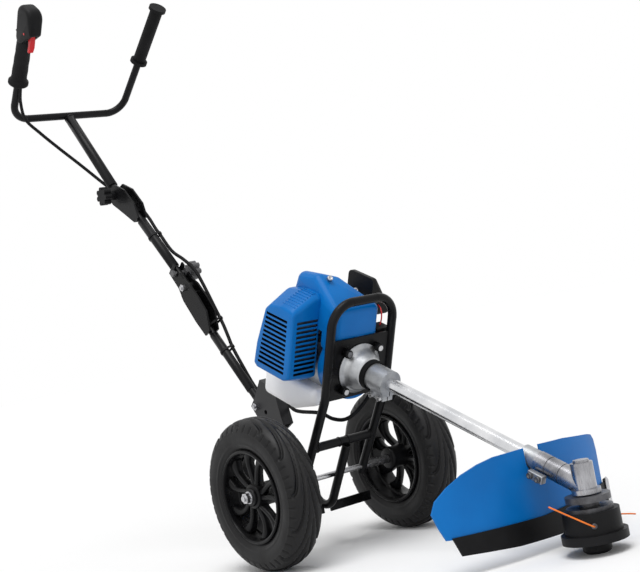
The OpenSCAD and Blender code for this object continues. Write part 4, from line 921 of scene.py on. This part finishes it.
hood = {  # a ball is n, y, s and its radius; a room is low and high n, then y, then s
    "balls": [
        (0.137, -0.034, 0.606, 0.015), (0.131, -0.034, 0.641, 0.015), (0.13, -0.006, 0.597, 0.015),
        (0.094, 0.035, 0.588, 0.015), (0.094, 0.035, 0.64, 0.015), (0.082, -0.034, 0.654, 0.015),
        (0.082, 0.035, 0.644, 0.015), (0.1, -0.044, 0.537, 0.012), (0.1, 0.03, 0.537, 0.012),
        (0.03, -0.044, 0.537, 0.012), (0.03, 0.03, 0.537, 0.012), (0.078, -0.034, 0.58, 0.015),
    ],
    "finRoom": (0.02, 0.1065, -0.0306, 0.0306, 0.5632, 0.6262),
    "wheelRoom": (-0.06, 0.0525, -0.0525, 0.0525, 0.5302, 0.5632),
    "carbRoom": (0.02, 0.105, 0.03, 0.1, 0.5625, 0.617),
    "rearRoom": (0.02, 0.0625, -0.1, 0.1, 0.5635, 0.7),
    "across": 24, "sharp": 34.0,
}


# the rooms are cut one at a time, so that the rounded skin stays whole
def blueHood():
    shell = roundedHull("blueHood", hood["balls"], hood["across"], mats["blue_plastic"])
    for room in ("finRoom", "wheelRoom", "carbRoom", "rearRoom"):
        cut = bmesh.new()
        bmesh.ops.convex_hull(cut, input=[cut.verts.new(p) for p in boxCorners(*hood[room])])
        cutFrom(shell, fromBm(room, cut, mats["blue_plastic"]), hood["sharp"])
    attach(shell, "chassis")
    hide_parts("cylinder_cover", "fan_housing")


blueHood()
fanRing = {
    "profile": [  # radius and s
        (0.0525, 0.5245), (0.0585, 0.5245), (0.0607, 0.527), (0.0607, 0.5595), (0.0585, 0.5618),
        (0.0525, 0.5618), (0.0525, 0.557), (0.0525, 0.53),
    ],
    "sides": 72,
}
ringPart = turned(
    "fanRing", fanRing["profile"], driveFoot, upTube, "blue_plastic", "chassis", fanRing["sides"]
)
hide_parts("fan_housing")

tank = {
    "balls": [  # n, y, s and radius
        (-0.094, -0.047, 0.7, 0.012), (-0.094, 0.047, 0.7, 0.012), (-0.094, -0.047, 0.625, 0.012),
        (-0.08, 0.047, 0.632, 0.012), (-0.072, -0.047, 0.576, 0.012), (-0.0635, 0.03, 0.585, 0.012),
        (-0.0622, -0.047, 0.7, 0.012), (-0.0622, 0.047, 0.7, 0.012), (-0.0622, -0.047, 0.576, 0.012),
        (-0.0622, 0.04, 0.6, 0.012),
    ],
    "across": 20, "sharp": 50.0,
}
whiteTank = roundedHull("whiteTank", tank["balls"], tank["across"], mats["tank_plastic"], "chassis")
whiteTank.data.set_sharp_from_angle(angle=math.radians(tank["sharp"]))
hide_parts("fuel_tank")

bell = {
    "profile": [  # radius and s
        (0.0305, 0.5197), (0.0452, 0.5197), (0.0457, 0.5186), (0.045, 0.5174), (0.0405, 0.5162),
        (0.037, 0.5125), (0.0352, 0.506), (0.0322, 0.4985), (0.0286, 0.4925), (0.0268, 0.4885),
        (0.0262, 0.4882), (0.0205, 0.4882), (0.0205, 0.493), (0.0302, 0.501), (0.0305, 0.505),
    ],
    "sides": 64,
}
bellPart = turned("clutchBell", bell["profile"], driveFoot, upTube, "cast_alloy", "chassis", bell["sides"])
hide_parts("clutch_housing")

plateBoss = {"out": 0.035, "profile": [(0.0072, 0.5071), (0.0078, 0.5085), (0.0078, 0.5199)]}
for k, (n, y) in enumerate(((1, 1), (1, -1), (-1, 1), (-1, -1))):
    place = alongDrive(n * plateBoss["out"], y * plateBoss["out"], 0.0)
    boss = turned("plateBoss%d" % k, plateBoss["profile"], place, upTube, "frame_paint", "chassis")
    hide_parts("clutch_housing")

fins = {
    "s": 0.594, "coreN": 0.0725, "core": (0.0315, 0.02, 0.022), "coreEdge": 0.002,
    "count": 8, "low": 0.042, "pitch": 0.0085, "halves": (0.0016, 0.0285, 0.029), "edge": 0.0007,
}
corePlace = alongDrive(fins["coreN"], 0.0, fins["s"])
finParts = [driveBlock("cylinderCore", corePlace, fins["core"], fins["coreEdge"], "cast_alloy")]
for k in range(fins["count"]):
    place = alongDrive(fins["low"] + k * fins["pitch"], 0.0, fins["s"])
    finParts.append(driveBlock("cylinderFin%d" % k, place, fins["halves"], fins["edge"], "cast_alloy"))
for part in finParts:
    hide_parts("engine_cylinder")
print("stage: hood, tank and clutch bell made")

tie = {"inner": 0.0002, "outer": 0.0014, "half": 0.0023, "stemSteps": 24, "cableSteps": 12}


def tieBand(name, onStem, stemAxis, onCable, stemR, body):
    axis = Vector(stemAxis).normalized()
    reach = Vector(onCable) - Vector(onStem)
    reach -= axis * reach.dot(axis)
    far = reach.length
    u = reach / far
    v = axis.cross(u)
    loops = []
    for grow in (tie["inner"], tie["outer"]):
        ra, rb = stemR + grow, cable["radius"] + grow
        phi = math.acos((ra - rb) / far)
        flat = []
        for k in range(tie["stemSteps"] + 1):
            w = phi + (2 * math.pi - 2 * phi) * k / tie["stemSteps"]
            flat.append((ra * math.cos(w), ra * math.sin(w)))
        for k in range(tie["cableSteps"] + 1):
            w = -phi + 2 * phi * k / tie["cableSteps"]
            flat.append((far + rb * math.cos(w), rb * math.sin(w)))
        loops.append(flat)
    verts, faces = [], []
    half = tie["half"]
    for flat, h in ((loops[0], -half), (loops[1], -half), (loops[1], half), (loops[0], half)):
        verts += [Vector(onStem) + u * a + v * b + axis * h for a, b in flat]
    count = len(loops[0])
    for r in range(4):
        for k in range(count):
            n = (k + 1) % count
            q = (r + 1) % 4
            faces.append((r * count + k, r * count + n, q * count + n, q * count + k))
    band = addMesh(name, verts, faces, mats["black_plastic"], body, smooth=False)


stem = {  # the three hinges, the leans of the two lower stems and the length of the upper one
    "base": (-0.785, 0.0, 0.274), "mid": (-0.96002, 0.0, 0.53002), "upper": (-1.16597, 0.0, 0.75941),
    "lowLean": math.radians(38.0), "midLean": math.radians(39.5), "upperLong": 0.258,
    "edge": 0.001, "sides": 40,
}
lowFoot, midFoot, handleTop = Vector(stem["base"]), Vector(stem["mid"]), Vector(bar["foot"])
lowAxis = Vector((-math.sin(stem["lowLean"]), 0.0, math.cos(stem["lowLean"])))
midAxis = Vector((-math.sin(stem["midLean"]), 0.0, math.cos(stem["midLean"])))
upperAxis = (handleTop - Vector(stem["upper"])).normalized()
ties = [  # name, foot and axis of the stem, place on the cable, radius of the stem, body
    ("tieMiddle", midFoot, midAxis, (-1.0515, 0.0118, 0.654), 0.01, "handle_mid"),
    ("tieLower", lowFoot, lowAxis, (-0.866, 0.0125, 0.395), 0.009, "handle_low"),
    ("tieFoot", lowFoot, lowAxis, (-0.897, 0.0185, 0.455), 0.0075, "handle_low"),
]
for tieName, foot, axis, spot, stemR, body in ties:
    onStem = foot + axis * (Vector(spot) - foot).dot(axis)
    tieBand(tieName, onStem, axis, spot, stemR, body)

bead = {
    "turns": 64, "sides": 8, "ripple": 0.16, "waves": 16,
    "handle": (0.0098, 0.0017), "brace": (0.0078, 0.0016), "step": (0.0078, 0.0014),
    "handleDown": 0.0088, "legTop": (-0.048, 0.0, 0.522), "legUp": 0.073,
    "braceOut": 0.0605, "stepOut": 0.0095,
}


def weldBead(name, centre, axis, radii, body):
    big, small = radii
    spin = Vector(axis).normalized()
    first = spin.orthogonal().normalized()
    second = spin.cross(first)
    verts, faces = [], []
    turns, sides = bead["turns"], bead["sides"]
    for i in range(turns):
        w = 2 * math.pi * i / turns
        out = first * math.cos(w) + second * math.sin(w)
        r = small * (1.0 + bead["ripple"] * math.sin(bead["waves"] * w))
        for k in range(sides):
            q = 2 * math.pi * k / sides
            verts.append(Vector(centre) + out * (big + r * math.cos(q)) + spin * r * math.sin(q))
    for i in range(turns):
        for k in range(sides):
            n, m = (k + 1) % sides, (i + 1) % turns
            faces.append((i * sides + k, m * sides + k, m * sides + n, i * sides + n))
    addMesh(name, verts, faces, mats["frame_paint"], body)


weldBead("beadHandle", handleTop - upperAxis * bead["handleDown"], upperAxis, bead["handle"], "handle_top")
legFoot, legTop = Vector((wheel["x"], 0.0, wheel["z"])), alongDrive(*bead["legTop"])
braceSpot = legFoot + (legTop - legFoot).normalized() * bead["legUp"]
for hand, side in (("Right", -1), ("Left", 1)):
    bracePlace = braceSpot + acrossY * side * bead["braceOut"]
    stepPlace = braceSpot + acrossY * side * bead["stepOut"]
    weldBead("beadBrace" + hand, bracePlace, acrossY, bead["brace"], "chassis")
    weldBead("beadStep" + hand, stepPlace, acrossY, bead["step"], "chassis")

stemSkins = {  # foot, axis, radius, start, end, body
    "stemLower": (lowFoot, lowAxis, 0.009, 0.04, 0.192, "handle_low"),
    "stemMiddle": (midFoot, midAxis, 0.01, 0.06, 0.206, "handle_mid"),
    "stemUpper": (handleTop - upperAxis * stem["upperLong"], upperAxis, 0.011, 0.026, 0.249, "handle_top"),
}
for skinName, (foot, axis, r, start, end, body) in stemSkins.items():
    edge = stem["edge"]
    skin = [(r - edge, start), (r, start + edge), (r, end - edge), (r - edge, end)]
    turned(skinName, skin, foot, axis, "handle_paint", body, stem["sides"])
print("stage: ties, beads and stems added")

floor = {
    "size": 40.0, "down": 0.0005, "colours": ((0.93, 0.93, 0.93), (0.95, 0.95, 0.95)), "cloud": 1.5,
    "rough": 0.9,
}
bpy.ops.mesh.primitive_plane_add(size=floor["size"], location=(0.0, 0.0, -floor["down"]))
ground = bpy.context.object
ground.name = "paleFloor"
gFloor = Graph("paleFloor")
ground.data.materials.append(
    gFloor.finish(
        Base_Color=gFloor.mix(gFloor.noise(floor["cloud"]), *floor["colours"]),
        Roughness=floor["rough"],
        Specular_IOR_Level=0.0,
    )
)

skyLook = {"light": 0.5, "seen": 1.0}  # the sky lights less than it shows
scene.view_settings.view_transform = "Standard"
scene.view_settings.look = "None"
world = bpy.data.worlds.new("paleSky")
scene.world = world
world.use_nodes = True
sky = world.node_tree
back = sky.nodes["Background"]
path = sky.nodes.new("ShaderNodeLightPath")
seen = path.outputs["Is Camera Ray"]
for ray in ("Is Glossy Ray", "Is Transmission Ray"):
    either = sky.nodes.new("ShaderNodeMath")
    either.operation = "MAXIMUM"
    sky.links.new(seen, either.inputs[0])
    sky.links.new(path.outputs[ray], either.inputs[1])
    seen = either.outputs[0]
pick = sky.nodes.new("ShaderNodeMapRange")
sky.links.new(seen, pick.inputs[0])
pick.inputs[3].default_value = skyLook["light"]
pick.inputs[4].default_value = skyLook["seen"]
back.inputs["Color"].default_value = (1.0, 1.0, 1.0, 1.0)
sky.links.new(pick.outputs[0], back.inputs["Strength"])

lamps = [  # name, strength, spread, where it stands
    ("keySun", 1.75, 40.0, (0.2, -0.24, 0.95)),
    ("fillSun", 0.45, 60.0, (0.6, -0.7, 0.35)),
]
for lampName, power, spread, towards in lamps:
    lamp = bpy.data.lights.new(lampName, "SUN")
    lamp.energy = power
    lamp.angle = math.radians(spread)
    holder = bpy.data.objects.new(lampName, lamp)
    holder.rotation_euler = Vector(towards).to_track_quat("Z", "Y").to_euler()
    scene.collection.objects.link(holder)

print("stage: floor and lamps placed")
